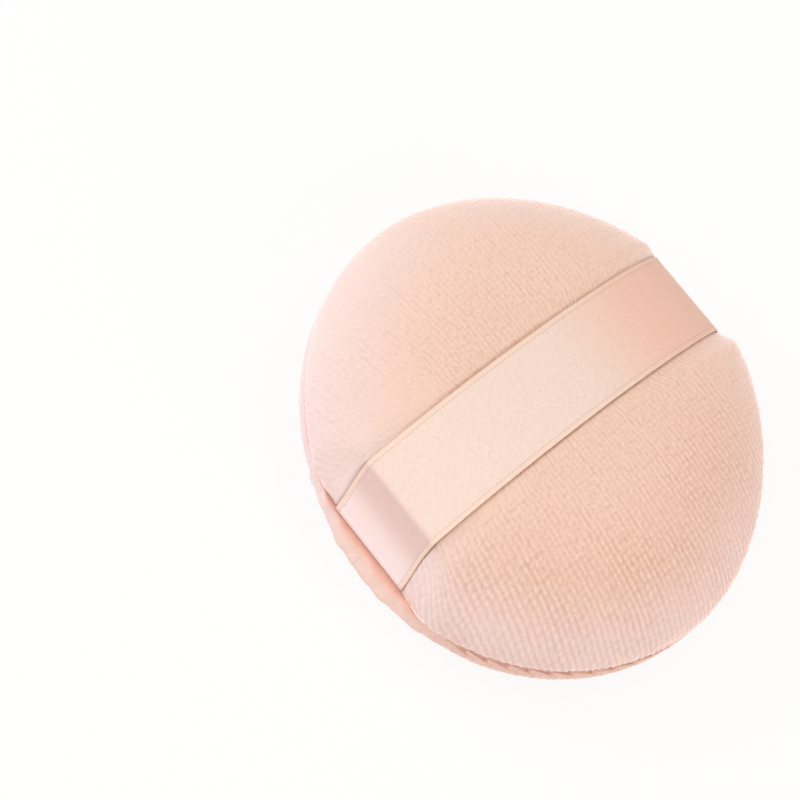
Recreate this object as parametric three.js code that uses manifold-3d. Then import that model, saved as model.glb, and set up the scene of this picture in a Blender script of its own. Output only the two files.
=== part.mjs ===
// A round powder puff: two discs of velour sewn together round a foam cushion,
// with a satin ribbon sewn into the seam at both ends for the fingers.
// It lies on its face cloth. Millimetres, +Z up, ribbon along X.
import * as THREE from "three";
import { mergeVertices } from "three/addons/utils/BufferGeometryUtils.js";
import Module from "manifold-3d";

const wasm = await Module();
wasm.setup();

// Body
const puffWidth = 80; // across the outline
const backRise = 11.5; // free crown of the back cloth above the seam
const faceDrop = 10.5; // free crown of the face cloth below the seam
const restCut = 0.5; // the face is cut flat this deep where it rests
const clothThick = 1.4; // velour with its pile
const seamDraw = 1.4; // the seam lies this far behind the outline
const seamGroove = 3; // height over which a cloth turns in to the seam
const closeDraw = 0.25; // how much deeper the hand stitches draw the rim in
const lipTuck = 1.3; // how far the face cloth is tucked under the far ribbon end

// Ribbon
const ribbonWide = 16;
const ribbonThick = 0.35;
const ribbonOffset = 3.15; // its middle line lies off the middle of the puff
const ribbonSlant = 0.9; // how far that line slants over half the puff
const ribbonSway = 1; // how far it sways back at both ends
const ribbonSink = 0.85; // its top below the free crown
const ribbonTurn = 0.6; // radius of its turn round the edge of the back cloth
const ribbonBend = 1.2; // radius of its bend over the shoulder
const nearSoft = 0.9; // rounding of the cloth under its bend
const pressPast = 0.9; // how far past its edges the cloth stays pressed flat
const pressFade = 3.4; // how slowly the cloth recovers beside the ribbon
const pressSoft = 1.6; // rounding where pressed and free cloth meet

// Sewing
const threadThick = 0.5;
const fitGap = 0.3; // clearance between pieces that touch
const runGap = 0.5; // clearance beside a run of thread
const hemLand = 0.65; // cloth between a needle hole and the raw edge
const stitchPitch = 8; // machine stitches
const closePitch = 3.6; // hand stitches
const closeLong = 38; // turning gap closed by hand

// Shares of half the outline, of the rise, and of a quarter turn
const shoulderShare = 0.765; // where the ribbon bends down at its near end
const nearShare = 0.885; // where the ribbon's near side meets the seam
const farShare = 0.938; // where its far side does
const nearLipShare = 0.889; // where the face cloth's lip starts at the near end
const farLipShare = 0.936; // where it starts at the far end
const archShare = 0.178; // how far the ribbon falls from middle to shoulder
const nearPullShare = 0.04; // how much shorter the outline is at the ribbon's near end
const farPullShare = 0.034; // how much shorter it is at the far end
const gapFullShare = 0.023; // how much fuller it is by the closed gap
const unevenShare = 0.007; // how uneven it is three times round
const squareShare = 0.005; // how square it is
const backRowShares = [0.1, 0.22, 0.34, 0.46, 0.58, 0.7, 0.8, 0.88, 0.945];
const innerRowShares = [0.88, 0.78, 0.64, 0.46, 0.24];
const faceRowShares = [0.4, 0.54, 0.66, 0.76, 0.85, 0.92, 0.965];
const crownPower = 2.6; // fullness of the crowns
const pullPower = 1.7; // how closely the shorter outline keeps to the ribbon's ends
const unevenTurn = 0.8; // where the uneven outline starts, radians
const closeTurn = 235; // direction of the closed gap, degrees from +X
const endSteps = 4; // columns across each ribbon end
const farSteps = 17; // columns round the far side
const nearSteps = 19; // columns round the near side
const closeEase = 0.3; // share of the closed gap over which its draw-in fades out
const evenShare = 0.38; // even part of the column spacing, rest is eased
const threadSides = 5;
const holeSides = 5;
const bendSteps = 4;
const turnSteps = 6;
const archSteps = 6;
const rollSteps = 12;
const traceSteps = 60;

// Sizes that follow from those above
const half = puffWidth / 2;
const seamZ = faceDrop - restCut;
const threadR = threadThick / 2;
const hemLow = fitGap / 2;
const hemTop = hemLow + clothThick;
const runHigh = hemTop + runGap + threadR;
const foamClear = clothThick + fitGap + fitGap / 2;
const ribbonHalf = ribbonWide / 2;
const quarter = Math.PI / 2;

const mix = (a, b, share) => a + (b - a) * share;
const ease = (share) => {
  const s = Math.min(Math.max(share, 0), 1);
  return s * s * (3 - 2 * s);
};

// The lesser of two lengths, rounded over where they are nearly equal.
function softLess(a, b, round) {
  const near = Math.max(round - Math.abs(a - b), 0);
  return Math.min(a, b) - (near * near) / (round * 4);
}

// Height and radius of a free crown at a turn from its top, before the seam draws it in.
const crownHeight = (turn, tall) =>
  tall * Math.pow(Math.max(Math.cos(turn), 0), 2 / crownPower);
const crownRadius = (turn, wide) =>
  wide * Math.pow(Math.sin(turn), 2 / crownPower);
const turnAt = (height, tall) =>
  Math.acos(Math.pow(Math.min(height / tall, 1), crownPower / 2));
const seamShare = (height) => 1 - ease(height / seamGroove);
const deepShare = (height) => 1 - ease(height / seamGroove / 2);

// The outline's radius at a direction, as a share of a true circle's.
function outlineShare(turn) {
  const along = Math.cos(turn);
  const near = nearPullShare * Math.pow(Math.max(-along, 0), pullPower);
  const far = farPullShare * Math.pow(Math.max(along, 0), pullPower);
  const full = gapFullShare * Math.sin(turn * 2);
  const uneven = unevenShare * Math.cos(turn * 3 + unevenTurn);
  return 1 - near - far + full + uneven + squareShare * Math.cos(turn * 4);
}

// How far the hand stitches draw the rim in at a direction.
const closeMiddle = (closeTurn * Math.PI) / 180;
const closeHalf = closeLong / puffWidth;
function closeDrawAt(turn) {
  const round = Math.PI * 2;
  const away = Math.abs(((turn - closeMiddle + round * 1.5) % round) - round / 2);
  return closeDraw * ease((closeHalf - away) / closeHalf / closeEase + 1);
}

// Radius that brings the widest line of a drawn-in crown to half the outline.
function bodyRadius(tall) {
  let widest = 0;
  for (let i = 1; i < traceSteps; i += 1) {
    const turn = (quarter * i) / traceSteps;
    const drawn = seamDraw * seamShare(crownHeight(turn, tall));
    widest = Math.max(widest, crownRadius(turn, half) - drawn);
  }
  return half + (half - widest);
}

const backR = bodyRadius(backRise);
const faceR = bodyRadius(faceDrop);
const seamR = backR - seamDraw;
const seamAt = (turn) => seamR * outlineShare(turn);

// The ribbon's own line over the puff, seen from the side: at its near end an arch down to
// the shoulder and a straight side to its foot on the seam, at its far end one soft roll.
const archTop = backRise - ribbonSink;
const shoulderX = half * shoulderShare;
const nearX = half * nearShare;
const farX = half * farShare;
const shoulderZ = archTop - backRise * archShare;
const archBow = (archTop - shoulderZ) / (shoulderX * shoulderX);
const sideLong = Math.hypot(nearX - shoulderX, shoulderZ);
const sideNormX = shoulderZ / sideLong;
const sideNormZ = (nearX - shoulderX) / sideLong;
const sideReach = nearX * sideNormX;

// The ribbon's middle line seen from above.
function ribbonY(x) {
  const share = x / half;
  return ribbonOffset + ribbonSlant * share - ribbonSway * share * share;
}

const pastRibbon = (x, y) => Math.abs(y - ribbonY(x)) - ribbonHalf;

// How much farther out the cloth may stand beside the ribbon than under it.
function besideRibbon(x, y, margin) {
  const rise = Math.max(pastRibbon(x, y) - margin, 0) / pressFade;
  return rise * rise * pressFade;
}

// Distance from the seam's middle to a line under the ribbon's top, in a direction.
function ribbonReach(ux, uz, under) {
  const along = Math.abs(ux);
  const over = archTop - under;
  if (ux > 0) {
    const level = Math.pow(along / (farX - under), crownPower);
    return Math.pow(level + Math.pow(uz / over, crownPower), -1 / crownPower);
  }
  const side = (sideReach - under) / (sideNormX * along + sideNormZ * uz + 1e-6);
  const bow = archBow * along * along + 1e-9;
  const arch = (Math.sqrt(uz * uz + 4 * bow * over) - uz) / (2 * bow);
  return softLess(side, arch, nearSoft);
}

// How far out such a line stands at a height, at the ribbon end that a direction is on.
function wallX(turn, under, height) {
  if (Math.cos(turn) > 0) {
    const tall = Math.pow(height / (archTop - under), crownPower);
    return (farX - under) * Math.pow(1 - tall, 1 / crownPower);
  }
  return (sideReach - under - sideNormZ * height) / sideNormX;
}

// A radius round the seam that is pulled in to a straight line across each ribbon end.
function pulledRadius(turn, free, across, margin) {
  const level = Math.max(Math.abs(Math.cos(turn)), 1e-3);
  const beside = besideRibbon(free * Math.cos(turn), free * Math.sin(turn), margin);
  return softLess(free, across / level + beside, pressSoft);
}

// A point of the back cloth, inset from its outer side, pressed in by the ribbon.
function backPoint(turn, row, inset, margin = pressPast) {
  const tall = backRise - inset;
  const z = crownHeight(row, tall);
  const drawn = seamDraw * seamShare(z) + closeDrawAt(turn) * deepShare(z);
  const r = crownRadius(row, backR * outlineShare(turn) - inset) - drawn;
  const free = Math.hypot(r, z);
  const ux = (r * Math.cos(turn)) / free;
  const uy = (r * Math.sin(turn)) / free;
  const pressed = ribbonReach(ux, z / free, ribbonThick + fitGap * 1.15 + inset);
  const least = Math.min(free, pressed);
  const beside = besideRibbon(ux * least, uy * least, margin);
  const grow = softLess(free, pressed + beside, pressSoft) / free;
  return [r * grow * Math.cos(turn), r * grow * Math.sin(turn), seamZ + z * grow];
}

// How far the face cloth is tucked in under the far end of the ribbon.
function lipTuckAt(turn) {
  const past = pastRibbon(seamAt(turn) * Math.cos(turn), seamAt(turn) * Math.sin(turn));
  return Math.cos(turn) > 0 ? lipTuck * (1 - ease(past / pressFade / 2)) : 0;
}

// Radius of the face cloth's lip at the seam.
function lipAt(turn) {
  const share = Math.cos(turn) > 0 ? farLipShare : nearLipShare;
  return pulledRadius(turn, seamAt(turn), half * share, fitGap);
}

// A point of the face cloth, inset from its outer side, with its lip by the ribbon ends.
function facePoint(turn, row, inset) {
  const z = crownHeight(row, faceDrop - inset);
  const wide = faceR * outlineShare(turn);
  const tucked = closeDrawAt(turn) + lipTuckAt(turn);
  const drawn = (wide - lipAt(turn)) * seamShare(z) + tucked * deepShare(z);
  const r = crownRadius(row, wide - inset) - drawn;
  const low = inset > 0 ? z : Math.min(z, seamZ);
  return [r * Math.cos(turn), r * Math.sin(turn), seamZ - low];
}

// The directions of the columns: even across the ribbon ends, eased round the sides.
function columnTurns() {
  const reach = ribbonHalf + fitGap * 2;
  const farY = ribbonY(farX);
  const nearY = ribbonY(-nearX);
  const farHigh = Math.atan((farY + reach) / farX);
  const farLow = Math.atan((farY - reach) / farX);
  const nearHigh = Math.PI - Math.atan((nearY + reach) / nearX);
  const nearLow = Math.PI - Math.atan((nearY - reach) / nearX);
  const spans = [
    [farLow, farHigh, endSteps, 1],
    [farHigh, nearHigh, farSteps, evenShare],
    [nearHigh, nearLow, endSteps, 1],
    [nearLow, Math.PI * 2 + farLow, nearSteps, evenShare],
  ];
  const turns = [];
  for (const [from, to, steps, even] of spans) {
    for (let i = 0; i < steps; i += 1) {
      const share = i / steps;
      turns.push(mix(from, to, share * even + ease(share) * (1 - even)));
    }
  }
  return turns;
}

const turns = columnTurns();

function geometryOf(points, faces) {
  const geometry = new THREE.BufferGeometry();
  const flat = new Float32Array(points.flat());
  geometry.setAttribute("position", new THREE.BufferAttribute(flat, 3));
  geometry.setIndex(faces.flat());
  return geometry;
}

// A closed skin from one pole through rings of points to the other pole.
function skinOf(firstPole, rings, lastPole) {
  const points = [firstPole];
  rings.forEach((ring) => points.push(...turns.map(ring)));
  points.push(lastPole);
  const wide = turns.length;
  const at = (ring, column) => 1 + ring * wide + (column % wide);
  const faces = [];
  for (let c = 0; c < wide; c += 1) {
    faces.push([0, at(0, c), at(0, c + 1)]);
    for (let r = 0; r < rings.length - 1; r += 1) {
      faces.push([at(r, c), at(r + 1, c), at(r + 1, c + 1)]);
      faces.push([at(r, c), at(r + 1, c + 1), at(r, c + 1)]);
    }
    const last = rings.length - 1;
    faces.push([at(last, c), points.length - 1, at(last, c + 1)]);
  }
  return geometryOf(points, faces);
}

function solidOf(geometry) {
  const bare = geometry.clone();
  bare.deleteAttribute("normal");
  bare.deleteAttribute("uv");
  const merged = mergeVertices(bare);
  return new wasm.Manifold(
    new wasm.Mesh({
      numProp: 3,
      vertProperties: merged.attributes.position.array,
      triVerts: new Uint32Array(merged.index.array),
    }),
  );
}

function geometryFrom(solid) {
  const mesh = solid.getMesh();
  const geometry = new THREE.BufferGeometry();
  const flat = new Float32Array(mesh.vertProperties);
  geometry.setAttribute("position", new THREE.BufferAttribute(flat, 3));
  geometry.setIndex(Array.from(mesh.triVerts));
  return geometry;
}

// A many-sided cord along a line of points, mitred at its corners.
function cordOf(path, radius) {
  const line = path.map((p) => new THREE.Vector3(...p));
  const steps = line.slice(1).map((p, i) => p.clone().sub(line[i]).normalize());
  const points = [];
  let side = new THREE.Vector3(0, 0, 1).cross(steps[0]);
  if (side.length() < 1e-3) side = new THREE.Vector3(1, 0, 0).cross(steps[0]);
  line.forEach((p, i) => {
    const before = steps[Math.max(i - 1, 0)];
    const after = steps[Math.min(i, steps.length - 1)];
    side.addScaledVector(before, -side.dot(before)).normalize();
    const up = before.clone().cross(side);
    const mitre = before.clone().add(after).normalize();
    for (let k = 0; k < threadSides; k += 1) {
      const a = (Math.PI * 2 * k) / threadSides;
      const rim = side.clone().multiplyScalar(Math.cos(a) * radius);
      rim.addScaledVector(up, Math.sin(a) * radius);
      rim.addScaledVector(before, -rim.dot(mitre) / before.dot(mitre));
      points.push(p.clone().add(rim).toArray());
    }
    const turned = side.clone().addScaledVector(mitre, -side.dot(mitre) * 2);
    side = turned.addScaledVector(after, -turned.dot(after));
  });
  return points;
}

function cordSolid(path, radius) {
  const points = cordOf(path, radius);
  const faces = [];
  const at = (ring, k) => ring * threadSides + (k % threadSides);
  for (let ring = 0; ring < path.length - 1; ring += 1) {
    for (let k = 0; k < threadSides; k += 1) {
      faces.push([at(ring, k), at(ring, k + 1), at(ring + 1, k + 1)]);
      faces.push([at(ring, k), at(ring + 1, k + 1), at(ring + 1, k)]);
    }
  }
  const last = path.length - 1;
  for (let k = 1; k < threadSides - 1; k += 1) {
    faces.push([at(0, 0), at(0, k + 1), at(0, k)]);
    faces.push([at(last, 0), at(last, k), at(last, k + 1)]);
  }
  return solidOf(geometryOf(points, faces));
}

// Where the stitches go down, where the hems end, and where the thread goes round the hems.
const stitchIn = threadR + runGap;
const stitchFree = (turn) => seamAt(turn) - clothThick - stitchIn;
const stitchPulled = (turn) =>
  wallX(turn, ribbonThick + fitGap + clothThick + stitchIn, runHigh);
const hemStep = threadR + fitGap + hemLand;
const drawnMost = (turn) => Math.max(closeDrawAt(turn), lipTuckAt(turn));
const stitchAt = (turn) =>
  pulledRadius(turn, stitchFree(turn), stitchPulled(turn), clothThick) - drawnMost(turn);
const hemEndAt = (turn) => stitchAt(turn) - hemStep;
const roundAt = (turn) => hemEndAt(turn) - stitchIn - fitGap;
const foamEdgeAt = (turn) =>
  pulledRadius(turn, stitchFree(turn), stitchPulled(turn), clothThick + runGap * 4) -
  drawnMost(turn) -
  hemStep -
  stitchIn * 2 -
  fitGap;

const onRing = (turn, r, z) => [r * Math.cos(turn), r * Math.sin(turn), z];

const backFoot = (turn, height, inset) =>
  backPoint(turn, turnAt(height, backRise - inset), inset);
const faceFoot = (turn, height, inset) =>
  facePoint(turn, turnAt(height, faceDrop - inset), inset);

function backCloth() {
  const rings = backRowShares.map(
    (share) => (turn) => backPoint(turn, share * quarter, 0),
  );
  rings.push((turn) => backFoot(turn, hemLow + fitGap, 0));
  rings.push((turn) => {
    const [x, y] = backFoot(turn, hemLow + fitGap, 0);
    return onRing(turn, Math.hypot(x, y) - fitGap, seamZ + hemLow);
  });
  rings.push((turn) => onRing(turn, hemEndAt(turn), seamZ + hemLow));
  rings.push((turn) => onRing(turn, hemEndAt(turn), seamZ + hemTop));
  rings.push((turn) => {
    const [x, y] = backFoot(turn, hemTop, clothThick);
    return [x, y, seamZ + hemTop];
  });
  innerRowShares.forEach((share) =>
    rings.push((turn) => backPoint(turn, share * quarter, clothThick)),
  );
  return skinOf(backPoint(0, 0, 0), rings, backPoint(0, 0, clothThick));
}

function faceCloth() {
  const flatShare = turnAt(seamZ, faceDrop) / quarter;
  const rings = [flatShare, ...faceRowShares].map(
    (share) => (turn) => facePoint(turn, share * quarter, 0),
  );
  rings.push((turn) => faceFoot(turn, hemLow + fitGap, 0));
  rings.push((turn) => {
    const [x, y] = faceFoot(turn, hemLow + fitGap, 0);
    return onRing(turn, Math.hypot(x, y) - fitGap, seamZ - hemLow);
  });
  rings.push((turn) => onRing(turn, hemEndAt(turn), seamZ - hemLow));
  rings.push((turn) => onRing(turn, hemEndAt(turn), seamZ - hemTop));
  rings.push((turn) => {
    const [x, y] = faceFoot(turn, hemTop, clothThick);
    return [x, y, seamZ - hemTop];
  });
  innerRowShares.forEach((share) =>
    rings.push((turn) => facePoint(turn, share * quarter, clothThick)),
  );
  const low = [0, 0, seamZ - faceDrop + clothThick];
  return skinOf(low, rings.reverse(), [0, 0, 0]);
}

// The foam fills both cloths and is pressed in round its edge by the hems and their thread.
function foamCore() {
  const lift = runHigh + stitchIn;
  const rows = [...innerRowShares].reverse().slice(0, -1);
  const past = pressPast + clothThick * 2;
  const rings = rows.map(
    (share) => (turn) => backPoint(turn, share * quarter, foamClear, past),
  );
  rings.push((turn) => {
    const [x, y] = backFoot(turn, lift + fitGap, foamClear);
    return [x, y, seamZ + lift];
  });
  rings.push((turn) => onRing(turn, foamEdgeAt(turn), seamZ + lift));
  rings.push((turn) => onRing(turn, foamEdgeAt(turn), seamZ - lift));
  rings.push((turn) => {
    const [x, y] = faceFoot(turn, lift + fitGap, foamClear);
    return [x, y, seamZ - lift];
  });
  rows.reverse().forEach((share) =>
    rings.push((turn) => facePoint(turn, share * quarter, foamClear)),
  );
  const low = [0, 0, seamZ - faceDrop + foamClear];
  return skinOf(backPoint(0, 0, foamClear), rings, low);
}

// A corner of the ribbon's line rounded to a radius: points of the arc, in order.
function roundedCorner(before, corner, after, radius, steps) {
  const a = new THREE.Vector2(...before);
  const b = new THREE.Vector2(...corner);
  const c = new THREE.Vector2(...after);
  const inward = a.sub(b).normalize();
  const onward = c.sub(b).normalize();
  const halfTurn = Math.acos(inward.dot(onward)) / 2;
  const back = radius / Math.tan(halfTurn);
  const middle = inward.clone().add(onward).normalize();
  const centre = b.clone().addScaledVector(middle, radius / Math.sin(halfTurn));
  const start = b.clone().addScaledVector(inward, back).sub(centre);
  const end = b.clone().addScaledVector(onward, back).sub(centre);
  const sweep = Math.PI - halfTurn * 2;
  const way = Math.sign(start.cross(end));
  const points = [];
  for (let i = 0; i <= steps; i += 1) {
    const at = start.clone().rotateAround(new THREE.Vector2(), (way * sweep * i) / steps);
    points.push(at.add(centre).toArray());
  }
  return points;
}

// The ribbon's middle line from its near tail over the top to its far tail, as X and height.
function ribbonLine() {
  const inset = ribbonThick / 2;
  const reach = sideReach - inset;
  const over = archTop - inset;
  const archAt = (x) => over - archBow * x * x;
  let bendX = shoulderX;
  for (let i = 0; i < traceSteps; i += 1) {
    bendX = (reach - sideNormZ * archAt(bendX)) / sideNormX;
  }
  const bend = [bendX, archAt(bendX)];
  const foot = [reach / sideNormX, 0];
  const tail = [stitchPulled(Math.PI) - hemStep, 0];
  const slope = [bendX - ribbonBend, archAt(bendX) + archBow * 2 * bendX * ribbonBend];
  const shoulder = roundedCorner(slope, bend, foot, ribbonBend, bendSteps);
  const turned = roundedCorner(bend, foot, tail, ribbonTurn, turnSteps);
  const arch = [];
  for (let i = 0; i < archSteps; i += 1) {
    const x = (shoulder[0][0] * i) / archSteps;
    arch.push([x, archAt(x)]);
  }
  const near = [...arch, ...shoulder, ...turned, tail].map(([x, z]) => [-x, z]);

  const roll = [];
  for (let i = 1; i < rollSteps; i += 1) {
    const turn = (quarter * i) / rollSteps;
    roll.push([crownRadius(turn, farX - inset), crownHeight(turn, over)]);
  }
  const farFoot = [farX - inset, 0];
  const farTail = [stitchPulled(0) - hemStep, 0];
  const farTurned = roundedCorner(roll.at(-1), farFoot, farTail, ribbonTurn, turnSteps);
  return [...near.reverse(), ...roll, ...farTurned, farTail];
}

// A band of cloth of a thickness and width that follows the ribbon's line.
function bandSolid(line, thick, wide) {
  const flat = line.map((p) => new THREE.Vector2(...p));
  const steps = flat.slice(1).map((p, i) => p.clone().sub(flat[i]).normalize());
  const extra = (thick - ribbonThick) / 2;
  const points = [];
  flat.forEach((p, i) => {
    const before = steps[Math.max(i - 1, 0)];
    const after = steps[Math.min(i, steps.length - 1)];
    const along = before.clone().add(after).normalize();
    const out = new THREE.Vector2(-along.y, along.x);
    const reach = thick / 2 / out.dot(new THREE.Vector2(-after.y, after.x));
    const end = i === 0 ? -extra : i === flat.length - 1 ? extra : 0;
    const at = p.clone().addScaledVector(along, end);
    for (const [up, y] of [
      [1, -1],
      [1, 1],
      [-1, 1],
      [-1, -1],
    ]) {
      const q = at.clone().addScaledVector(out, up * reach);
      points.push([q.x, ribbonY(q.x) + (y * wide) / 2, seamZ + q.y]);
    }
  });
  const faces = [];
  const at = (ring, k) => ring * 4 + (k % 4);
  for (let ring = 0; ring < flat.length - 1; ring += 1) {
    for (let k = 0; k < 4; k += 1) {
      faces.push([at(ring, k), at(ring + 1, k), at(ring + 1, k + 1)]);
      faces.push([at(ring, k), at(ring + 1, k + 1), at(ring, k + 1)]);
    }
  }
  const last = flat.length - 1;
  faces.push([at(0, 0), at(0, 1), at(0, 2)]);
  faces.push([at(0, 0), at(0, 2), at(0, 3)]);
  faces.push([at(last, 0), at(last, 2), at(last, 1)]);
  faces.push([at(last, 0), at(last, 3), at(last, 2)]);
  return solidOf(geometryOf(points, faces));
}

const closeCount = Math.round(closeLong / closePitch);
const closingTurns = Array.from(
  { length: closeCount + 1 },
  (_, i) => closeMiddle + mix(-closeHalf, closeHalf, i / closeCount),
);
const slipHigh = hemLow + clothThick / 2;
const foldAt = (turn) => Math.hypot(...backFoot(turn, slipHigh, 0).slice(0, 2));
const outsideAt = (turn) => foldAt(turn) + threadR + fitGap;
const slipAt = (turn) => foldAt(turn) - clothThick;

// Directions of the machine stitches, from one end of the closed gap round to the other.
function machineTurns() {
  const from = closeMiddle + closeHalf + closePitch / seamR;
  const to = closeMiddle - closeHalf - closePitch / seamR + Math.PI * 2;
  const count = Math.round(((to - from) * seamR) / stitchPitch);
  return Array.from({ length: count + 1 }, (_, i) => mix(from, to, i / count));
}

// The machine thread goes down through both hems and back up round their raw edges.
function rimPath() {
  const path = [];
  const stops = machineTurns();
  const step = (stops[1] - stops[0]) / 3;
  for (const turn of stops) {
    path.push(onRing(turn, stitchAt(turn), seamZ + runHigh));
    path.push(onRing(turn, stitchAt(turn), seamZ - runHigh));
    path.push(onRing(turn + step, roundAt(turn + step), seamZ - runHigh));
    path.push(onRing(turn + step, roundAt(turn + step), seamZ + runHigh));
  }
  return path;
}

// The hand thread slips up inside both folded edges, comes out above the seam, crosses it
// outside, and goes in again below it.
function closingPath() {
  const path = [];
  closingTurns.forEach((turn, i) => {
    if (i > 0) path.push(onRing(turn, outsideAt(turn), seamZ - slipHigh));
    path.push(onRing(turn, slipAt(turn), seamZ - slipHigh));
    path.push(onRing(turn, slipAt(turn), seamZ + slipHigh));
    if (i < closeCount) path.push(onRing(turn, outsideAt(turn), seamZ + slipHigh));
  });
  return path;
}

// Needle holes: straight through both hems and the ribbon's tails, and, along the closed
// gap, out through both folded edges.
function needleHoles() {
  const radius = threadR + fitGap;
  const upright = (turn, r, tall) => {
    const pin = new THREE.CylinderGeometry(radius, radius, tall, holeSides);
    pin.rotateX(quarter);
    return solidOf(pin.translate(...onRing(turn, r, seamZ)));
  };
  const outward = (turn, z) => {
    const from = slipAt(turn) - radius;
    const long = outsideAt(turn) - from;
    const pin = new THREE.CylinderGeometry(radius, radius, long, holeSides);
    pin.rotateZ(-quarter);
    pin.translate(from + long / 2, 0, z);
    return solidOf(pin.rotateZ(turn));
  };
  const slip = (slipHigh + radius) * 2;
  const pins = [
    ...machineTurns().map((turn) => upright(turn, stitchAt(turn), runHigh * 2)),
    ...closingTurns.map((turn) => upright(turn, slipAt(turn), slip)),
  ];
  closingTurns.forEach((turn, i) => {
    if (i < closeCount) pins.push(outward(turn, seamZ + slipHigh));
    if (i > 0) pins.push(outward(turn, seamZ - slipHigh));
  });
  return pins.reduce((all, pin) => all.add(pin));
}

const line = ribbonLine();
const holes = needleHoles();
const fitRoom = fitGap * 2;
const ribbonRoom = bandSolid(line, ribbonThick + fitRoom, ribbonWide + fitRoom);
const closing = closingPath();

const back = solidOf(backCloth()).subtract(ribbonRoom).subtract(holes);
const face = solidOf(faceCloth()).subtract(ribbonRoom).subtract(holes);
const ribbon = bandSolid(line, ribbonThick, ribbonWide).subtract(holes);

const part = new THREE.Group();

function addPiece(name, solid, colour, roughness) {
  const material = new THREE.MeshStandardMaterial({
    color: colour,
    roughness,
    metalness: 0,
  });
  const mesh = new THREE.Mesh(geometryFrom(solid), material);
  mesh.name = name;
  part.add(mesh);
}

addPiece("face_cloth", face, "#f3cdb9", 0.95);
addPiece("back_cloth", back, "#f1c9b5", 0.95);
addPiece("foam_core", solidOf(foamCore()), "#f5efe4", 0.9);
addPiece("satin_ribbon", ribbon, "#f7dfd2", 0.45);
addPiece("rim_seam_thread", cordSolid(rimPath(), threadR), "#f0cdbd", 0.7);
addPiece("closing_thread", cordSolid(closing, threadR), "#f3cfc0", 0.7);

// The origin lies under the middle of the outline.
const middle = new THREE.Box3().setFromObject(part).getCenter(new THREE.Vector3());
part.position.set(-middle.x, -middle.y, 0);

export default part;
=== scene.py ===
import math

import bpy
import numpy as np
from mathutils import Matrix, Vector


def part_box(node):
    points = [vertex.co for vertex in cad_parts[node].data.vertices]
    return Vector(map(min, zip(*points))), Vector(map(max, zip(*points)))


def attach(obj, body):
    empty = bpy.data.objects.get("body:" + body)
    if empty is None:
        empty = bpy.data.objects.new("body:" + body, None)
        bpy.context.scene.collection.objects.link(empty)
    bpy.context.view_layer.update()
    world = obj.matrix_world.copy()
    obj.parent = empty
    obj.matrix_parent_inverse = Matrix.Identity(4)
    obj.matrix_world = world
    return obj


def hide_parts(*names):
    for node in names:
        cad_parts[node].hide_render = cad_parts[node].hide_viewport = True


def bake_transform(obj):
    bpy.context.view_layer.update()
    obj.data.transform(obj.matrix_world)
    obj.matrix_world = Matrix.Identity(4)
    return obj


# A round powder puff: two discs of velour over a foam cushion, with a satin ribbon for the
# fingers sewn into the seam at both ends. Lengths are in millimetres until a mesh is made.
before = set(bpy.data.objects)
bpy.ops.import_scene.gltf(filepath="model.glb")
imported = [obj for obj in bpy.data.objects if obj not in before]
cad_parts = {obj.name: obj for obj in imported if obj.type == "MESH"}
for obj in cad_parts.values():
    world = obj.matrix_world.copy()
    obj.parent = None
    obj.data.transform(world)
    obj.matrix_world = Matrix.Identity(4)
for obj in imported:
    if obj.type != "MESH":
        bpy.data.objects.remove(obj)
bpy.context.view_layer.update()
MM = 0.001

# Sizes of the puff
HALF = 40.0  # half the outline's width
BACK_RISE = 11.5  # free crown of the back cloth above the seam
FACE_DROP = 10.5  # free crown of the face cloth below the seam
REST_CUT = 0.5  # the face lies flat this deep
REST_SOFT = 0.48  # rounding where the face turns flat
CLOTH_THICK = 1.4  # velour with its pile
SEAM_DRAW = 1.4  # the seam lies this far behind the outline
SEAM_GROOVE = 2.3  # height over which a cloth turns in to the seam
CLOSE_DRAW = 0.25  # how much deeper the hand stitches draw the rim in
LIP_TUCK = 1.3  # how far the face cloth is tucked under the far ribbon end

# Sizes of the ribbon and of the cloth pressed in by it
RIBBON_WIDE = 16.0
RIBBON_THICK = 0.35
RIBBON_OFFSET = 3.15  # its middle line lies off the middle of the puff
RIBBON_SLANT, RIBBON_SWAY = 0.9, 1.0  # how far that line slants, and sways back at both ends
RIBBON_SKEW = 1.5  # its near foot is drawn this far aside from its bend
RIBBON_SINK = 0.3  # its top below the free crown
RIBBON_TURN = 0.6  # radius of its turn into the seam
SIDE_HOLLOW = 1.4  # its side hangs this hollow between bend and foot
NEAR_BEND = 0.9  # rounding of its bend at the near end, the one with the open lip
PRESS_PAST = 0.9  # how far past its edges the inner side of the cloth stays pressed
PRESS_FADE = 3.4  # how slowly the cloth recovers beside the ribbon
NEAR_FADE = 9.0  # and beside its near end, where it is drawn flat
NEAR_START = 14.0  # the near end is reckoned from here, and in full twice as far out
PRESS_SOFT = 1.6  # rounding where pressed and free cloth meet
BESIDE_START, BESIDE_END = -0.25, 0.4  # past the edge, where the cloth comes up to the ribbon
BESIDE_FLAT = 0.2  # and how far past the edge it stays level with it
BESIDE_SOFT, NEAR_SOFT = 0.7, 2.8  # its rounding there, and what the near end adds to that

# Sizes of the sewing
THREAD_THICK = 0.5
FIT_GAP = 0.3  # clearance between pieces that touch
BED_GAP = FIT_GAP * 1.15  # clearance under the ribbon
RUN_GAP = 0.5  # clearance beside a run of thread
HEM_LAND = 0.65  # cloth between a needle hole and the raw edge
EDGE_LOW = 0.05  # the cloths' folded edges lie closer together than their hems
CLOSE_PITCH = 3.6  # hand stitches
CLOSE_LONG = 38.0  # turning gap closed by hand
CLOSE_TURN = math.radians(235)  # direction of the closed gap

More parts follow.
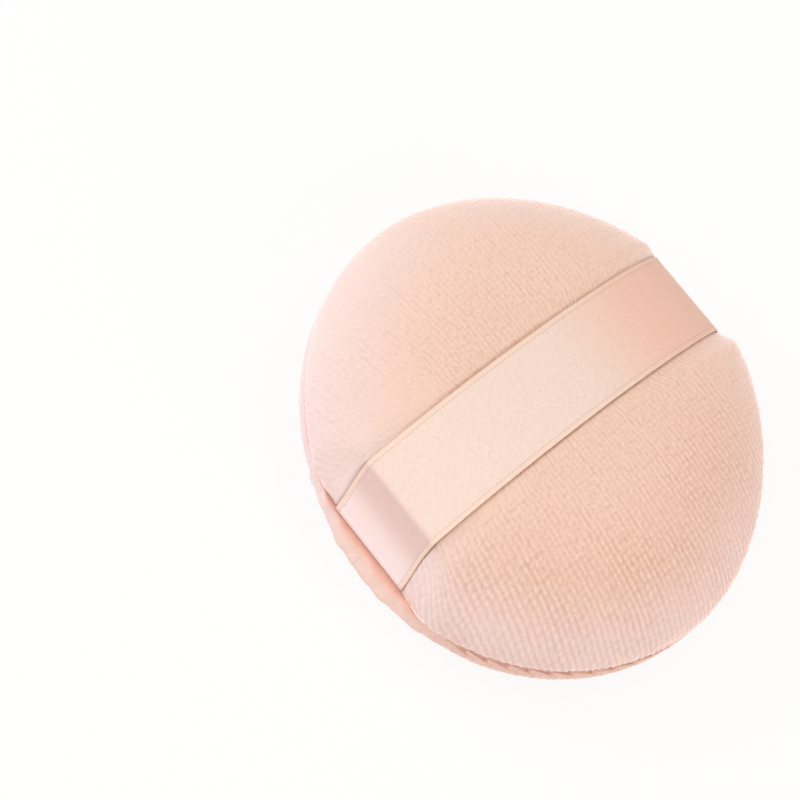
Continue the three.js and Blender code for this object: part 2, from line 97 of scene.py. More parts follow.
# Shares of half the outline, of the rise and of a turn
SHOULDER_SHARE = 0.758  # where the ribbon bends down at its near end
SHOULDER_HIGH_SHARE = 0.75  # and how high up the free crown that is
NEAR_SHARE, FAR_SHARE = 0.898, 0.935  # where the ribbon's ends meet the seam
NEAR_LIP_SHARE, FAR_LIP_SHARE = 0.912, 0.936  # where the face cloth's lip starts by them
SKEW_START_SHARE = 0.97  # how far out to the shoulder the ribbon's skew starts
NEAR_PULL_SHARE, FAR_PULL_SHARE = 0.04, 0.034  # how much shorter the outline is by the ends
GAP_FULL_SHARE = 0.023  # how much fuller it is by the closed gap
UNEVEN_SHARE = 0.007  # how uneven it is three times round
SQUARE_SHARE = 0.005  # how square it is
CLOSE_EASE_SHARE = 0.3  # part of the closed gap over which its draw-in fades out past it
QUIET_SHARE = 0.4  # how much less the seam sinks in on the quiet side
QUIET_START, QUIET_END = (1.1, 1.7), (2.85, 2.55)  # where that side comes and goes, radians

# Powers, turns and steps
CROWN_POWER = 2.6  # fullness of the crowns
FAR_POWER = 2.25  # the far half of the ribbon falls a little sooner than the crown
PULL_POWER = 1.7  # how closely the shorter outline keeps to the ribbon's ends
HOLLOW_POWER, HOLLOW_SCALE = 1.5, 5.4  # the scale makes the hollow SIDE_HOLLOW at its deepest
UNEVEN_TURN = 0.8  # where the uneven outline starts, radians
FORM_STEPS = 61
CLOTH_STEPS = 3000

SEAM_Z = FACE_DROP - REST_CUT
THREAD_R = THREAD_THICK / 2
HEM_LOW = FIT_GAP / 2
HEM_TOP = HEM_LOW + CLOTH_THICK
RUN_HIGH = HEM_TOP + RUN_GAP + THREAD_R
FOAM_CLEAR = CLOTH_THICK + FIT_GAP * 1.5
RIBBON_HALF = RIBBON_WIDE / 2
CLOSE_HALF = CLOSE_LONG / HALF / 2
QUARTER = math.pi / 2

# The CAD frame's origin lies under the middle of the outline, a little off the seam's
# middle: the ribbon's edge shows by how much.
ribbon_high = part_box("satin_ribbon")[1]
RIBBON_PEAK = RIBBON_OFFSET + RIBBON_SLANT**2 / RIBBON_SWAY / 4 + RIBBON_HALF
SHIFT = Vector((0.0, ribbon_high.y / MM - RIBBON_PEAK, 0.0))

# Camera
PICTURE = 800  # pixels across and down
SENSOR = 36.0
NEAREST_SEEN = 10 * MM


def place_camera(target, tilt, from_side, roll, distance, lens_pixels, seen_at):
    """A camera that sees target at the pixel seen_at. Its three angles are in degrees."""
    tilt, from_side, roll = (math.radians(a) for a in (tilt, from_side, roll))
    towards = Vector((
        -math.sin(tilt) * math.cos(from_side),
        -math.sin(tilt) * math.sin(from_side),
        math.cos(tilt),
    ))
    upright = (Vector((0, 0, 1)) - towards * towards.z).normalized()
    aside = upright.cross(towards)
    right = aside * math.cos(roll) + upright * math.sin(roll)
    up = upright * math.cos(roll) - aside * math.sin(roll)
    aimed = Matrix((right, up, towards)).transposed()
    middle = PICTURE / 2
    ray = Vector((seen_at[0] - middle, middle - seen_at[1], -lens_pixels))
    turn = ray.rotation_difference(Vector((0, 0, -1))).to_matrix()
    camera = bpy.data.objects.new("camera", bpy.data.cameras.new("camera"))
    camera.data.sensor_width = SENSOR
    camera.data.lens = lens_pixels * SENSOR / PICTURE
    camera.data.clip_start = NEAREST_SEEN
    bpy.context.collection.objects.link(camera)
    place = (aimed @ turn).to_4x4()
    place.translation = target + towards * distance
    camera.matrix_world = place
    bpy.context.scene.camera = camera
    return right, up, towards


seam_middle = (SHIFT + Vector((0, 0, SEAM_Z))) * MM
view_right, view_up, view_back = place_camera(
    seam_middle,
    tilt=28.45,
    from_side=12.2,
    roll=40.2,
    distance=0.32,
    lens_pixels=2010,
    seen_at=(535.1, 429.5),
)


# The puff's form
def ease(share):
    """From 0 to 1 with a soft start and end, and level past them."""
    s = np.clip(share, 0, 1)
    return s * s * (3 - 2 * s)


def ramp(value, start, end):
    """Eased from 0 at start to 1 at end. It falls where start is the greater."""
    return ease((value - start) / (end - start))


def soft_less(a, b, rounding):
    """The lesser of two lengths, rounded over where they are nearly equal."""
    near = np.maximum(rounding - np.abs(a - b), 0)
    return np.minimum(a, b) - near * near / (rounding * 4)


def waves(turn, table):
    """The sum of waves round the rim, each with its depth, its count and its start."""
    return sum(deep * np.sin(turn * count + start) for deep, count, start in table)


def turn_from(turn, where):
    """How far a turn is from another one, between minus half a turn and half a turn."""
    return (turn - where + math.pi) % math.tau - math.pi


def crown_height(row, tall):
    return tall * np.maximum(np.cos(row), 0) ** (2 / CROWN_POWER)


def crown_radius(row, wide):
    return wide * np.sin(row) ** (2 / CROWN_POWER)


def row_at(height, tall):
    """The turn from the crown's top at which it has come down to a height."""
    return np.arccos(np.minimum(height / tall, 1) ** (CROWN_POWER / 2))


def seam_share(height):
    """How much of the seam's draw-in there is at a height from the seam."""
    return 1 - ease(height / SEAM_GROOVE)


def deep_share(height):
    """The same for a draw-in that reaches twice as high."""
    return 1 - ease(height / SEAM_GROOVE / 2)


def outline_share(turn):
    """The outline is shorter along the ribbon and fuller by the closed gap: its radius as
    a share of a true circle's."""
    near = np.maximum(-np.cos(turn), 0) ** PULL_POWER * NEAR_PULL_SHARE
    far = np.maximum(np.cos(turn), 0) ** PULL_POWER * FAR_PULL_SHARE
    full = GAP_FULL_SHARE * np.sin(2 * turn)
    uneven = UNEVEN_SHARE * np.cos(3 * turn + UNEVEN_TURN) + SQUARE_SHARE * np.cos(4 * turn)
    return 1 - near - far + full + uneven


def close_draw_at(turn):
    away = np.abs(turn_from(turn, CLOSE_TURN))
    return CLOSE_DRAW * ease((CLOSE_HALF - away) / CLOSE_HALF / CLOSE_EASE_SHARE + 1)


def seam_draw_at(turn):
    """The seam sinks in less from the ribbon's near end to the far side of the pad."""
    around = turn % math.tau
    return SEAM_DRAW * (1 - QUIET_SHARE * ramp(around, *QUIET_START) * ramp(around, *QUIET_END))


def body_radius(tall):
    """The radius that brings the widest line of a drawn-in crown to half the outline."""
    rows = np.linspace(0, QUARTER, FORM_STEPS)[1:-1]
    drawn = SEAM_DRAW * seam_share(crown_height(rows, tall))
    return HALF * 2 - float(np.max(crown_radius(rows, HALF) - drawn))


BACK_R, FACE_R = body_radius(BACK_RISE), body_radius(FACE_DROP)
SEAM_R = BACK_R - SEAM_DRAW
ARCH_TOP = BACK_RISE - RIBBON_SINK
SHOULDER_X, NEAR_X, FAR_X = HALF * SHOULDER_SHARE, HALF * NEAR_SHARE, HALF * FAR_SHARE
SHOULDER_Z = BACK_RISE * SHOULDER_HIGH_SHARE
ARCH_X = SHOULDER_X / (1 - (SHOULDER_Z / ARCH_TOP) ** CROWN_POWER) ** (1 / CROWN_POWER)
SKEW_X = SHOULDER_X * SKEW_START_SHARE
SIDE_LONG = math.hypot(NEAR_X - SHOULDER_X, SHOULDER_Z)
SIDE_NORM_X, SIDE_NORM_Z = SHOULDER_Z / SIDE_LONG, (NEAR_X - SHOULDER_X) / SIDE_LONG
SIDE_REACH = NEAR_X * SIDE_NORM_X


def ribbon_y(x):
    """The ribbon's middle line seen from above: nearly straight."""
    share = x / HALF
    bow = RIBBON_SLANT * share - RIBBON_SWAY * share * share
    return RIBBON_OFFSET + bow - RIBBON_SKEW * ramp(-x, SKEW_X, NEAR_X)


def past_edge(x, y):
    """How far a place seen from above is past the ribbon's edge."""
    return np.abs(y - ribbon_y(x)) - RIBBON_HALF


def beside_ribbon(x, y, margin, fade=PRESS_FADE):
    """How far the cloth recovers from the ribbon's press at a place beside it."""
    rise = np.maximum(past_edge(x, y) - margin, 0) / fade
    return rise * rise * fade


def ribbon_reach(ux, uz, under):
    """Distance from the seam's middle to the ribbon's line less `under`, in a direction."""
    along = np.abs(ux)
    side = (SIDE_REACH - under) / (SIDE_NORM_X * along + SIDE_NORM_Z * uz + 1e-6)
    share = np.clip(side * uz / SHOULDER_Z, 0, 1)
    side = side - SIDE_HOLLOW * HOLLOW_SCALE * share**HOLLOW_POWER * (1 - share)
    wide = np.where(ux > 0, FAR_X, ARCH_X) - under
    power = np.where(ux > 0, FAR_POWER, CROWN_POWER)
    level = (along / wide) ** power + (uz / (ARCH_TOP - under)) ** power
    arch = level ** (-1 / power)
    return np.where(ux > 0, arch, soft_less(side, arch, NEAR_BEND))


def wall_x(turn, under, height):
    """How far out the ribbon's line less `under` stands at a height, at the end a turn
    is on."""
    near = (SIDE_REACH - under - SIDE_NORM_Z * height) / SIDE_NORM_X
    tall = (height / (ARCH_TOP - under)) ** FAR_POWER
    far = (FAR_X - under) * (1 - tall) ** (1 / FAR_POWER)
    return np.where(np.cos(turn) > 0, far, near)


def pulled_radius(turn, free, across, margin):
    """A radius that follows the outline, pulled in to a straight line at a ribbon end."""
    level = np.maximum(np.abs(np.cos(turn)), 1e-3)
    x, y = free * np.cos(turn), free * np.sin(turn)
    return soft_less(free, across / level + beside_ribbon(x, y, margin), PRESS_SOFT)


def on_ring(turn, r, z):
    """Points at a radius and a height above the seam."""
    return np.stack([r * np.cos(turn), r * np.sin(turn), SEAM_Z + z + 0 * r], -1)


def back_points(turn, row, inset=0.0, margin=PRESS_PAST):
    """Points of the back cloth, pressed in by the ribbon, drawn in at the seam. Its outer
    side comes up to the ribbon's own level close beside it, then slowly to its free form."""
    z = crown_height(row, BACK_RISE - inset)
    draw = SEAM_DRAW if inset > 0 else seam_draw_at(turn)
    drawn = draw * seam_share(z) + close_draw_at(turn) * deep_share(z)
    r = crown_radius(row, BACK_R * outline_share(turn) - inset) - drawn
    free = np.hypot(r, z)
    ux, uy, uz = r * np.cos(turn) / free, r * np.sin(turn) / free, z / free
    under = RIBBON_THICK + BED_GAP
    pressed = ribbon_reach(ux, uz, under + inset)
    least = np.minimum(free, pressed)
    x, y = ux * least, uy * least
    if inset > 0:
        level, soft = pressed + beside_ribbon(x, y, margin), PRESS_SOFT
    else:
        near = ramp(-x, NEAR_START, NEAR_START * 2)
        fade = PRESS_FADE + (NEAR_FADE - PRESS_FADE) * near
        beside = under * ramp(past_edge(x, y), BESIDE_START, BESIDE_END)
        level = pressed + beside + beside_ribbon(x, y, BESIDE_FLAT, fade)
        soft = BESIDE_SOFT + NEAR_SOFT * near
    grow = soft_less(free, level, soft) / free
    return on_ring(turn, r * grow, z * grow)


def seam_at(turn):
    return SEAM_R * outline_share(turn)


def past_ribbon(turn, r):
    """How far a point near the rim is past the ribbon's edge."""
    return past_edge(r * np.cos(turn), r * np.sin(turn))


def lip_tuck_at(turn):
    past = past_ribbon(turn, seam_at(turn))
    return np.where(np.cos(turn) > 0, LIP_TUCK * (1 - ease(past / PRESS_FADE / 2)), 0)


LIP_WAVES = ((0.16, 31, 1), (0.12, 53, 0))  # small waves of the open lip's edge
LIP_WAVES_END = 4  # they end this far past the ribbon's edge


def lip_at(turn):
    """The radius at which the face cloth leaves the seam: its open lip by the ribbon."""
    share = np.where(np.cos(turn) > 0, FAR_LIP_SHARE, NEAR_LIP_SHARE)
    near = ramp(past_ribbon(turn, seam_at(turn)), LIP_WAVES_END, 0) * (np.cos(turn) < 0)
    lip = pulled_radius(turn, seam_at(turn), HALF * share, FIT_GAP)
    return lip + waves(turn, LIP_WAVES) * near


def face_points(turn, row, inset=0.0):
    """Points of the face cloth, with its lip by the ribbon's end, flat where it lies."""
    z = crown_height(row, FACE_DROP - inset)
    wide = FACE_R * outline_share(turn)
    tucked = close_draw_at(turn) + lip_tuck_at(turn)
    draw = wide - lip_at(turn)
    if inset == 0:
        draw = draw - (SEAM_DRAW - seam_draw_at(turn))
    drawn = draw * seam_share(z) + tucked * deep_share(z)
    r = crown_radius(row, wide - inset) - drawn
    low = z if inset > 0 else soft_less(z, SEAM_Z + REST_SOFT / 4, REST_SOFT)
    return on_ring(turn, r, -low)


# Where the stitches go down and where the hems end, round the seam
STITCH_IN = THREAD_R + RUN_GAP
HEM_STEP = THREAD_R + FIT_GAP + HEM_LAND
TAIL_ROOM = 0.32  # a hem stands off this far for the ribbon's tail
TAIL_ROOM_IN = 3  # that is reckoned this far in from the seam
TAIL_ROOM_START, TAIL_ROOM_END = 1.9, 0.3  # and fades in between these, past the edge


def drawn_most(turn):
    """The deeper of the two draw-ins that add to the seam's own."""
    return np.maximum(close_draw_at(turn), lip_tuck_at(turn))


def stitch_pulled(turn):
    """Where the row of stitches crosses a ribbon end, inside the cloth under it."""
    return wall_x(turn, RIBBON_THICK + FIT_GAP + CLOTH_THICK + STITCH_IN, RUN_HIGH)


def stitch_at(turn, margin=CLOTH_THICK):
    """The radius of the row of stitches, or of what runs beside it."""
    free = seam_at(turn) - CLOTH_THICK - STITCH_IN
    return pulled_radius(turn, free, stitch_pulled(turn), margin) - drawn_most(turn)


def hem_end_at(turn):
    return stitch_at(turn) - HEM_STEP


def tail_room(turn):
    """How far a hem stands off where the ribbon's tail lies between the hems."""
    past = past_ribbon(turn, seam_at(turn) - TAIL_ROOM_IN)
    return TAIL_ROOM * ramp(past, TAIL_ROOM_START, TAIL_ROOM_END)


class Cloth:
    """One disc of velour: its free outline from the middle to the seam, laid out flat."""

    def __init__(self, points, tall, wide):
        self.points, self.tall = points, tall
        rows = np.linspace(0, row_at(EDGE_LOW, tall), CLOTH_STEPS)
        z = crown_height(rows, tall)
        r = crown_radius(rows, wide) - SEAM_DRAW * seam_share(z)
        steps = np.hypot(np.diff(r), np.diff(z))
        self.rows, self.run = rows, np.concatenate([[0], np.cumsum(steps)])
        self.long = float(self.run[-1])

    def at(self, turn, run):
        """Points at a distance along the cloth from its middle."""
        return self.points(turn, np.interp(run, self.run, self.rows))


back_cloth = Cloth(back_points, BACK_RISE, BACK_R)
face_cloth = Cloth(face_points, FACE_DROP, FACE_R)


def mesh_object(name, points, faces, shift=True):
    """An object from points in millimetres, moved to the CAD frame unless told not to."""
    mesh = bpy.data.meshes.new(name)
    moved = np.asarray(points, float) + (np.array(SHIFT) if shift else 0)
    mesh.from_pydata((moved * MM).tolist(), [], [list(f) for f in faces])
    mesh.update()
    made = bpy.data.objects.new(name, mesh)
    bpy.context.collection.objects.link(made)
    return made


def write_attribute(mesh, name, values, rest=0.0):
    """Keeps a value or a vector for each point, and `rest` for points past the last."""
    values = np.asarray(values, np.float32)
    whole = np.full((len(mesh.vertices), *values.shape[1:]), rest, np.float32)
    whole[: len(values)] = values
    kind, field = ("FLOAT_VECTOR", "vector") if values.ndim > 1 else ("FLOAT", "value")
    made = mesh.attributes.new(name, kind, "POINT")
    made.data.foreach_set(field, whole.reshape(-1))


def ring_faces(rings, columns, first, top, bottom):
    """Faces over rings of points, the first of them numbered `first`, closed at both ends
    by the points numbered `top` and `bottom`."""
    faces = []
    last = first + (rings - 1) * columns
    for c in range(columns):
        d = (c + 1) % columns
        faces.append((top, first + c, first + d))
        for r in range(rings - 1):
            a, b = first + r * columns, first + (r + 1) * columns
            faces.append((a + c, b + c, b + d, a + d))
        faces.append((last + c, bottom, last + d))
    return faces


# Swelling of the pad
SWELL_COLUMNS, SWELL_RINGS = 120, 26
SWELL_SCALE = 20  # the cloth solver works best on things about a metre across
SWELL_CAP = 0.6
SWELL_START = 0.35  # the pad starts this much smaller where it is free
SWELL_STEPS = 20
SWELL_SMOOTHINGS = 3
SWELL_SETTINGS = {
    "quality": 8,
    "mass": 0.3,
    "tension_stiffness": 12,
    "compression_stiffness": 12,
    "shear_stiffness": 4,
    "bending_stiffness": 0.4,
    "use_pressure": True,
    "uniform_pressure_force": 4,
    "vertex_group_mass": "held",
}
# The cloth is held to the first length and free from the second: past the ribbon's edge,
# in from the seam, and up from where it lies
HELD_RIBBON, HELD_SEAM, HELD_REST = (1.2, 6.2), (1.5, 5.5), (0, 0.8)


def held_share(points, run, cloth):
    """1 where the cloth can't move: under the ribbon, at the seam and where it lies flat."""
    held = 1 - ramp(cloth.long - run, *HELD_SEAM)
    if cloth is back_cloth:
        where, held_to = past_edge(points[..., 0], points[..., 1]), HELD_RIBBON
    else:
        where, held_to = points[..., 2], HELD_REST
    return np.maximum(1 - ramp(where, *held_to), held)


def inflate(small, stays):
    """Runs the cloth solver on the closed skin of both cloths and gives its points."""
    top = small[0, :, 2].mean()
    flat = np.concatenate([[[0, 0, top], [0, 0, 0]], small.reshape(-1, 3)])
    faces = ring_faces(len(small), SWELL_COLUMNS, 2, 0, 1)
    skin = mesh_object("swelling_skin", flat * SWELL_SCALE, faces, shift=False)
    group = skin.vertex_groups.new(name="held")
    for index, weight in enumerate([1.0, 1.0, *stays.reshape(-1)]):
        group.add([index], float(weight), "REPLACE")
    cloth = skin.modifiers.new("swelling", "CLOTH")
    for name, value in SWELL_SETTINGS.items():
        setattr(cloth.settings, name, value)
    cloth.settings.effector_weights.gravity = 0
    cloth.point_cache.frame_start, cloth.point_cache.frame_end = 1, SWELL_STEPS
    for step in range(1, SWELL_STEPS + 1):
        bpy.context.scene.frame_set(step)
    dressed = skin.evaluated_get(bpy.context.evaluated_depsgraph_get()).to_mesh()
    there = np.empty(len(dressed.vertices) * 3)
    dressed.vertices.foreach_get("co", there)
    bpy.data.objects.remove(skin)
    bpy.context.scene.frame_set(1)
    return there.reshape(-1, 3)[2:].reshape(small.shape) / SWELL_SCALE / MM


def swell():
    """Fills the closed skin of both cloths with air, as the foam does, and gives each
    point's movement from the plain form, ring by ring for each cloth."""
    turn = np.arange(SWELL_COLUMNS) / SWELL_COLUMNS * math.tau
    plain, held = [], []
    for cloth in (back_cloth, face_cloth):
        run = np.linspace(0, cloth.long, SWELL_RINGS + 1)[1:]
        grid = np.stack([cloth.at(turn, r) for r in run])
        plain.append(grid)
        held.append(np.stack([held_share(g, r, cloth) for g, r in zip(grid, run)]))
    rings = np.concatenate([plain[0], plain[1][::-1]])
    stays = np.concatenate([held[0], held[1][::-1]])
    centre = np.array([0, 0, SEAM_Z])
    inward = (rings - centre) / np.linalg.norm(rings - centre, axis=-1, keepdims=True)
    free = (1 - stays)[..., None]
    moved = inflate(rings - inward * SWELL_START * free, stays) - rings
    for ring, share, line in zip(moved, free, inward):
        lost = (ring * line).sum(-1, keepdims=True)
        ring -= line * share * (lost * share).sum() / max(float((share * share).sum()), 1e-6)
    for _ in range(SWELL_SMOOTHINGS):
        beside = (np.roll(moved, 1, 1) + np.roll(moved, -1, 1)) / 2
        moved = moved * 0.5 + beside * 0.5
    size = np.linalg.norm(moved, axis=-1, keepdims=True)
    moved *= np.minimum(1, SWELL_CAP / np.maximum(size, 1e-9))
    return np.stack([moved[:SWELL_RINGS], moved[SWELL_RINGS:][::-1]])


swelling = swell()


def curve_through(values, share):
    """Catmull-Rom values between four neighbours, stacked first."""
    a, b, c, d = values
    return b + 0.5 * share * (c - a + share * (2 * a - 5 * b + 4 * c - d + share * (3 * (b - c) + d - a)))


def swelling_at(cloth, turn, run):
    """Movement of points anywhere on a cloth, smooth between the solver's points."""
    solved = swelling[0 if cloth is back_cloth else 1]
    middle = np.broadcast_to(solved[0].mean(0), solved[:1].shape)
    field = np.concatenate([middle, solved])
    column = (turn / math.tau * SWELL_COLUMNS) % SWELL_COLUMNS
    ring = np.clip(run / cloth.long * SWELL_RINGS, 0, SWELL_RINGS - 1e-6)
    c, r = np.floor(column).astype(int), np.floor(ring).astype(int)
    rows = []
    for dr in (-1, 0, 1, 2):
        at = np.clip(r + dr, 0, SWELL_RINGS)
        four = [field[at, (c + dc) % SWELL_COLUMNS] for dc in (-1, 0, 1, 2)]
        rows.append(curve_through(four, (column - c)[..., None]))
    return curve_through(rows, (ring - r)[..., None])


# Puckers of the seam, and dimples of the hand stitches in the closed gap
PUCKERS_DRAWN = 70
PUCKER_APART, PUCKER_DEEP, PUCKER_WIDE = (3.2, 6.0), (0.0, 0.1), (0.7, 1.5)
PUCKER_LAST = 0.06  # none is nearer than this to a whole turn, radians
PUCKER_HIGH = 2.6  # how far from the seam a pucker reaches
PUCKER_FREE = 3  # puckers are whole from this far past the ribbon's edge
CLOSE_DEEP, CLOSE_DEEP_VARIES, CLOSE_VARIES_TURN, CLOSE_WIDE = 0.08, 0.05, 2.3, 0.9
pucker_draw = np.random.default_rng(7)
drawn_turns = np.cumsum(pucker_draw.uniform(*PUCKER_APART, PUCKERS_DRAWN)) / SEAM_R
pucker_turns = drawn_turns[drawn_turns < math.tau - PUCKER_LAST]
pucker_depths = pucker_draw.uniform(*PUCKER_DEEP, len(pucker_turns))
pucker_wides = pucker_draw.uniform(*PUCKER_WIDE, len(pucker_turns))
PUCKERS = list(zip(pucker_turns, pucker_depths, pucker_wides))
close_stitches = np.linspace(-CLOSE_HALF, CLOSE_HALF, round(CLOSE_LONG / CLOSE_PITCH) + 1)
for k, away in enumerate(close_stitches):
    deep = CLOSE_DEEP + CLOSE_DEEP_VARIES * math.sin(k * CLOSE_VARIES_TURN)
    PUCKERS.append((CLOSE_TURN + away, deep, CLOSE_WIDE))

# Soft folds of the face cloth's open lip by the ribbon's foot
CRUMPLE_START, CRUMPLE_END = (2.5, 2.85), (3.85, 3.5)  # where it comes and goes, radians
CRUMPLE_DEEP = 0.42
CRUMPLE_WAVES = ((0.09, 26, 1.3), (0.08, 43, 0.4))
CRUMPLE_FINE_DEEP, CRUMPLE_FINE_COUNT = 0.07, 67
CRUMPLE_MIDDLE, CRUMPLE_REACH = 2.2, 2.0  # how far from the seam it is deepest and reaches


def pucker_at(turn, from_seam):
    """How far the seam's stitches dimple the cloth inward, fading away from the seam."""
    deep = np.zeros_like(turn)
    for where, depth, wide in PUCKERS:
        away = turn_from(turn, where) * SEAM_R
        deep += depth * np.exp(-((away / wide) ** 2))
    free = ease(past_ribbon(turn, SEAM_R) / PUCKER_FREE)
    return deep * free * np.exp(-((from_seam / PUCKER_HIGH) ** 2))


def crumple_at(turn, from_seam):
    """How far the face cloth's open lip by the ribbon's foot is crumpled inward."""
    around = turn % math.tau
    by_foot = ramp(around, *CRUMPLE_START) * ramp(around, *CRUMPLE_END)
    fine = (CRUMPLE_FINE_DEEP, CRUMPLE_FINE_COUNT, from_seam)
    deep = CRUMPLE_DEEP + waves(turn, (*CRUMPLE_WAVES, fine))
    return by_foot * deep * np.exp(-(((from_seam - CRUMPLE_MIDDLE) / CRUMPLE_REACH) ** 2))


# The two cloths
RIB_SPACE = 0.94  # ribs of the knitted velour, measured in the photograph
LOOP_SPACE = 1.0  # loops along each rib
GRID_ACROSS, GRID_ALONG = RIB_SPACE / 4, LOOP_SPACE / 4
RIM_STRETCH = 0.14  # how much the cloth is stretched over the rim
RIB_SWAY = 0.0018  # how the ribs bow where the closed gap was pulled together
STRETCH_STEPS, STRETCH_PAST = 600, 1.2  # steps of the stretch, and how far past the rim
RIM_CLEAR = 0.4  # between the grid and the seam
INNER_ROW_SHARES = (0.97, 0.9, 0.78, 0.6, 0.4, 0.2)  # rows of the cloth's inner side
HEM_ROUND = 0.1  # rounding of the hem's raw edge
FOLD_IN, FOLD_LAND = 0.12, 0.6  # how far the folded edge goes in before the hem lies flat


def stretched(u, v, radius):
    """Where a point of the unstretched cloth lies once it is drawn over the crown."""
    x = u - RIB_SWAY * np.minimum(v, 0) ** 2
    out = np.hypot(x, v)
    run = np.linspace(0, radius * STRETCH_PAST, STRETCH_STEPS)
    grown = np.interp(out, run * (1 - RIM_STRETCH * (run / radius) ** 2), run)
    share = grown / np.maximum(out, 1e-9)
    return x * share, v * share


def disc_grid(radius):
    """A grid cut to a disc, squared with the ribs: cloth places, places once stretched,
    faces and the rim in order."""
    across = np.arange(-round(radius / GRID_ACROSS), round(radius / GRID_ACROSS) + 1)
    along = np.arange(-round(radius / GRID_ALONG), round(radius / GRID_ALONG) + 1)
    u, v = np.meshgrid(across * GRID_ACROSS, along * GRID_ALONG, indexing="ij")
    x, y = stretched(u, v, radius)
    inside = np.hypot(x, y) < radius - RIM_CLEAR
    cell = inside[:-1, :-1] & inside[1:, :-1] & inside[:-1, 1:] & inside[1:, 1:]
    number = -np.ones(u.shape, int)
    used = np.zeros(u.shape, bool)
    for di in (0, 1):
        for dj in (0, 1):
            used[di : di + cell.shape[0], dj : dj + cell.shape[1]] |= cell
    number[used] = np.arange(used.sum())
    i, j = np.nonzero(cell)
    corners = [number[i, j], number[i + 1, j], number[i + 1, j + 1], number[i, j + 1]]
    quads = np.stack(corners, -1)
    sides = np.concatenate([quads[:, [k, (k + 1) % 4]] for k in range(4)])
    known = set(map(tuple, sides.tolist()))
    onward = {a: b for a, b in known if (b, a) not in known}
    start = min(onward)
    rim, at = [start], onward[start]
    while at != start:
        rim.append(at)
        at = onward[at]
    cloth = np.stack([u[used], v[used]], -1)
    return cloth, np.stack([x[used], y[used]], -1), quads.tolist(), rim


def disc_lining(cloth, turn, foot_r, room, sign):
    """Rings from the folded edge along the hem and up the inner side of a cloth."""
    count = len(turn)
    hem_low, hem_top, hem_end = HEM_LOW + room, HEM_TOP + room / 2, hem_end_at(turn)
    top_row = np.full(count, row_at(HEM_TOP, cloth.tall - CLOTH_THICK))
    inner_foot = cloth.points(turn, top_row, CLOTH_THICK)
    inner_r = np.hypot(inner_foot[:, 0], inner_foot[:, 1])
    hem = (
        (foot_r - FOLD_IN, EDGE_LOW + room),
        (foot_r - FOLD_LAND, hem_low),
        ((foot_r + hem_end) / 2, hem_low),
        (hem_end + HEM_ROUND, hem_low),
        (hem_end, hem_low + HEM_ROUND),
        (hem_end, hem_top - HEM_ROUND),
        (hem_end + HEM_ROUND, hem_top),
        (inner_r - HEM_ROUND, hem_top),
    )
    rings = [on_ring(turn, r, sign * z) for r, z in hem]
    for share in INNER_ROW_SHARES:
        rings.append(cloth.points(turn, np.full(count, share * QUARTER), CLOTH_THICK))
    return rings


# The pile's ribs stand highest by the closed gap and lie flatter in other places, as
# shares of their full depth. The lengths run along the cloth from its middle.
PILE_PLAIN, PILE_BY_GAP, PILE_FACE = 0.32, 0.72, 0.4
PILE_MIDDLE, PILE_LEFT = 0.1, 0.08  # what the middle adds and the left side takes away
PILE_SEAM_FADE = 1.2
PILE_BEND_FLAT = (0.92, 0.5)  # how flat it lies by the ribbon's bend, on each side of it
PILE_BEND_START, PILE_BEND_REACH = (10, 22), (18, 7)
PILE_RIM_FLAT = 0.75  # and at the rim away from the closed gap
PILE_REST_LEAST, PILE_REST_HIGH = 0.45, 0.4  # where the face lies, and how high that fades
# Shares of the cloth's length over which the middle fades out and the rim comes in
MIDDLE_SHARES, RIM_SHARES = (0.75, 0.35), (0.72, 0.94)
# Painted light: the pile's tips are painted pale, as if brushed up, on the lit left side and in a
# lobe by the open lip: where each is strongest, in radians, and from where to where it comes in along the
# cloth
LEFT_TURN, LOBE_TURN = 2.6, 3.85
LEFT_RUN, LOBE_RUN = (20, 42), (26, 40)
LOBE_LEAST = 0.42  # what the lobe leaves all round the rim
FACE_LEFT_END, FACE_LEFT_LESS = (2.75, 3.1), 0.8  # the face's left side ends by the lip
FACE_LIT_TIPS = 0.35
SEAM_WARM_WIDE, SEAM_WARM_START = 1.0, 1.2  # width and start of the warm line at the seam
LAID_PAST = 1.01  # the seam's own points lie this much further out on the cloth


def pile_standing(turn, run, long, height, upward):
    """How far the pile stands up in ribs, from 0 to 1."""
    share = run / long
    by_gap = ease(0.5 + 0.9 * np.cos(turn - CLOSE_TURN)) * ease(share * 1.6 - 0.5)
    middle = ramp(share, *MIDDLE_SHARES)
    left = 0.5 + 0.5 * np.cos(turn - LEFT_TURN)
    base = PILE_PLAIN + PILE_MIDDLE * middle - PILE_LEFT * left * share
    pile = base + (PILE_BY_GAP - PILE_MIDDLE * middle) * by_gap
    x, y = run * np.cos(turn), run * np.sin(turn)
    flat, reach = (np.where(y > 0, *pair) for pair in (PILE_BEND_FLAT, PILE_BEND_REACH))
    by_bend = ramp(-x, *PILE_BEND_START) * (1 - ease(past_edge(x, y) / reach))
    by_far_rim = ramp(share, *RIM_SHARES) * (1 - ease(0.8 + np.cos(turn - CLOSE_TURN)))
    pile = pile * ease((long - run) / PILE_SEAM_FADE)
    pile = pile * (1 - by_bend * flat) * (1 - PILE_RIM_FLAT * by_far_rim)
    if upward:
        return pile
    lying = PILE_REST_LEAST + (1 - PILE_REST_LEAST) * ease(height / PILE_REST_HIGH)
    return pile * PILE_FACE * lying


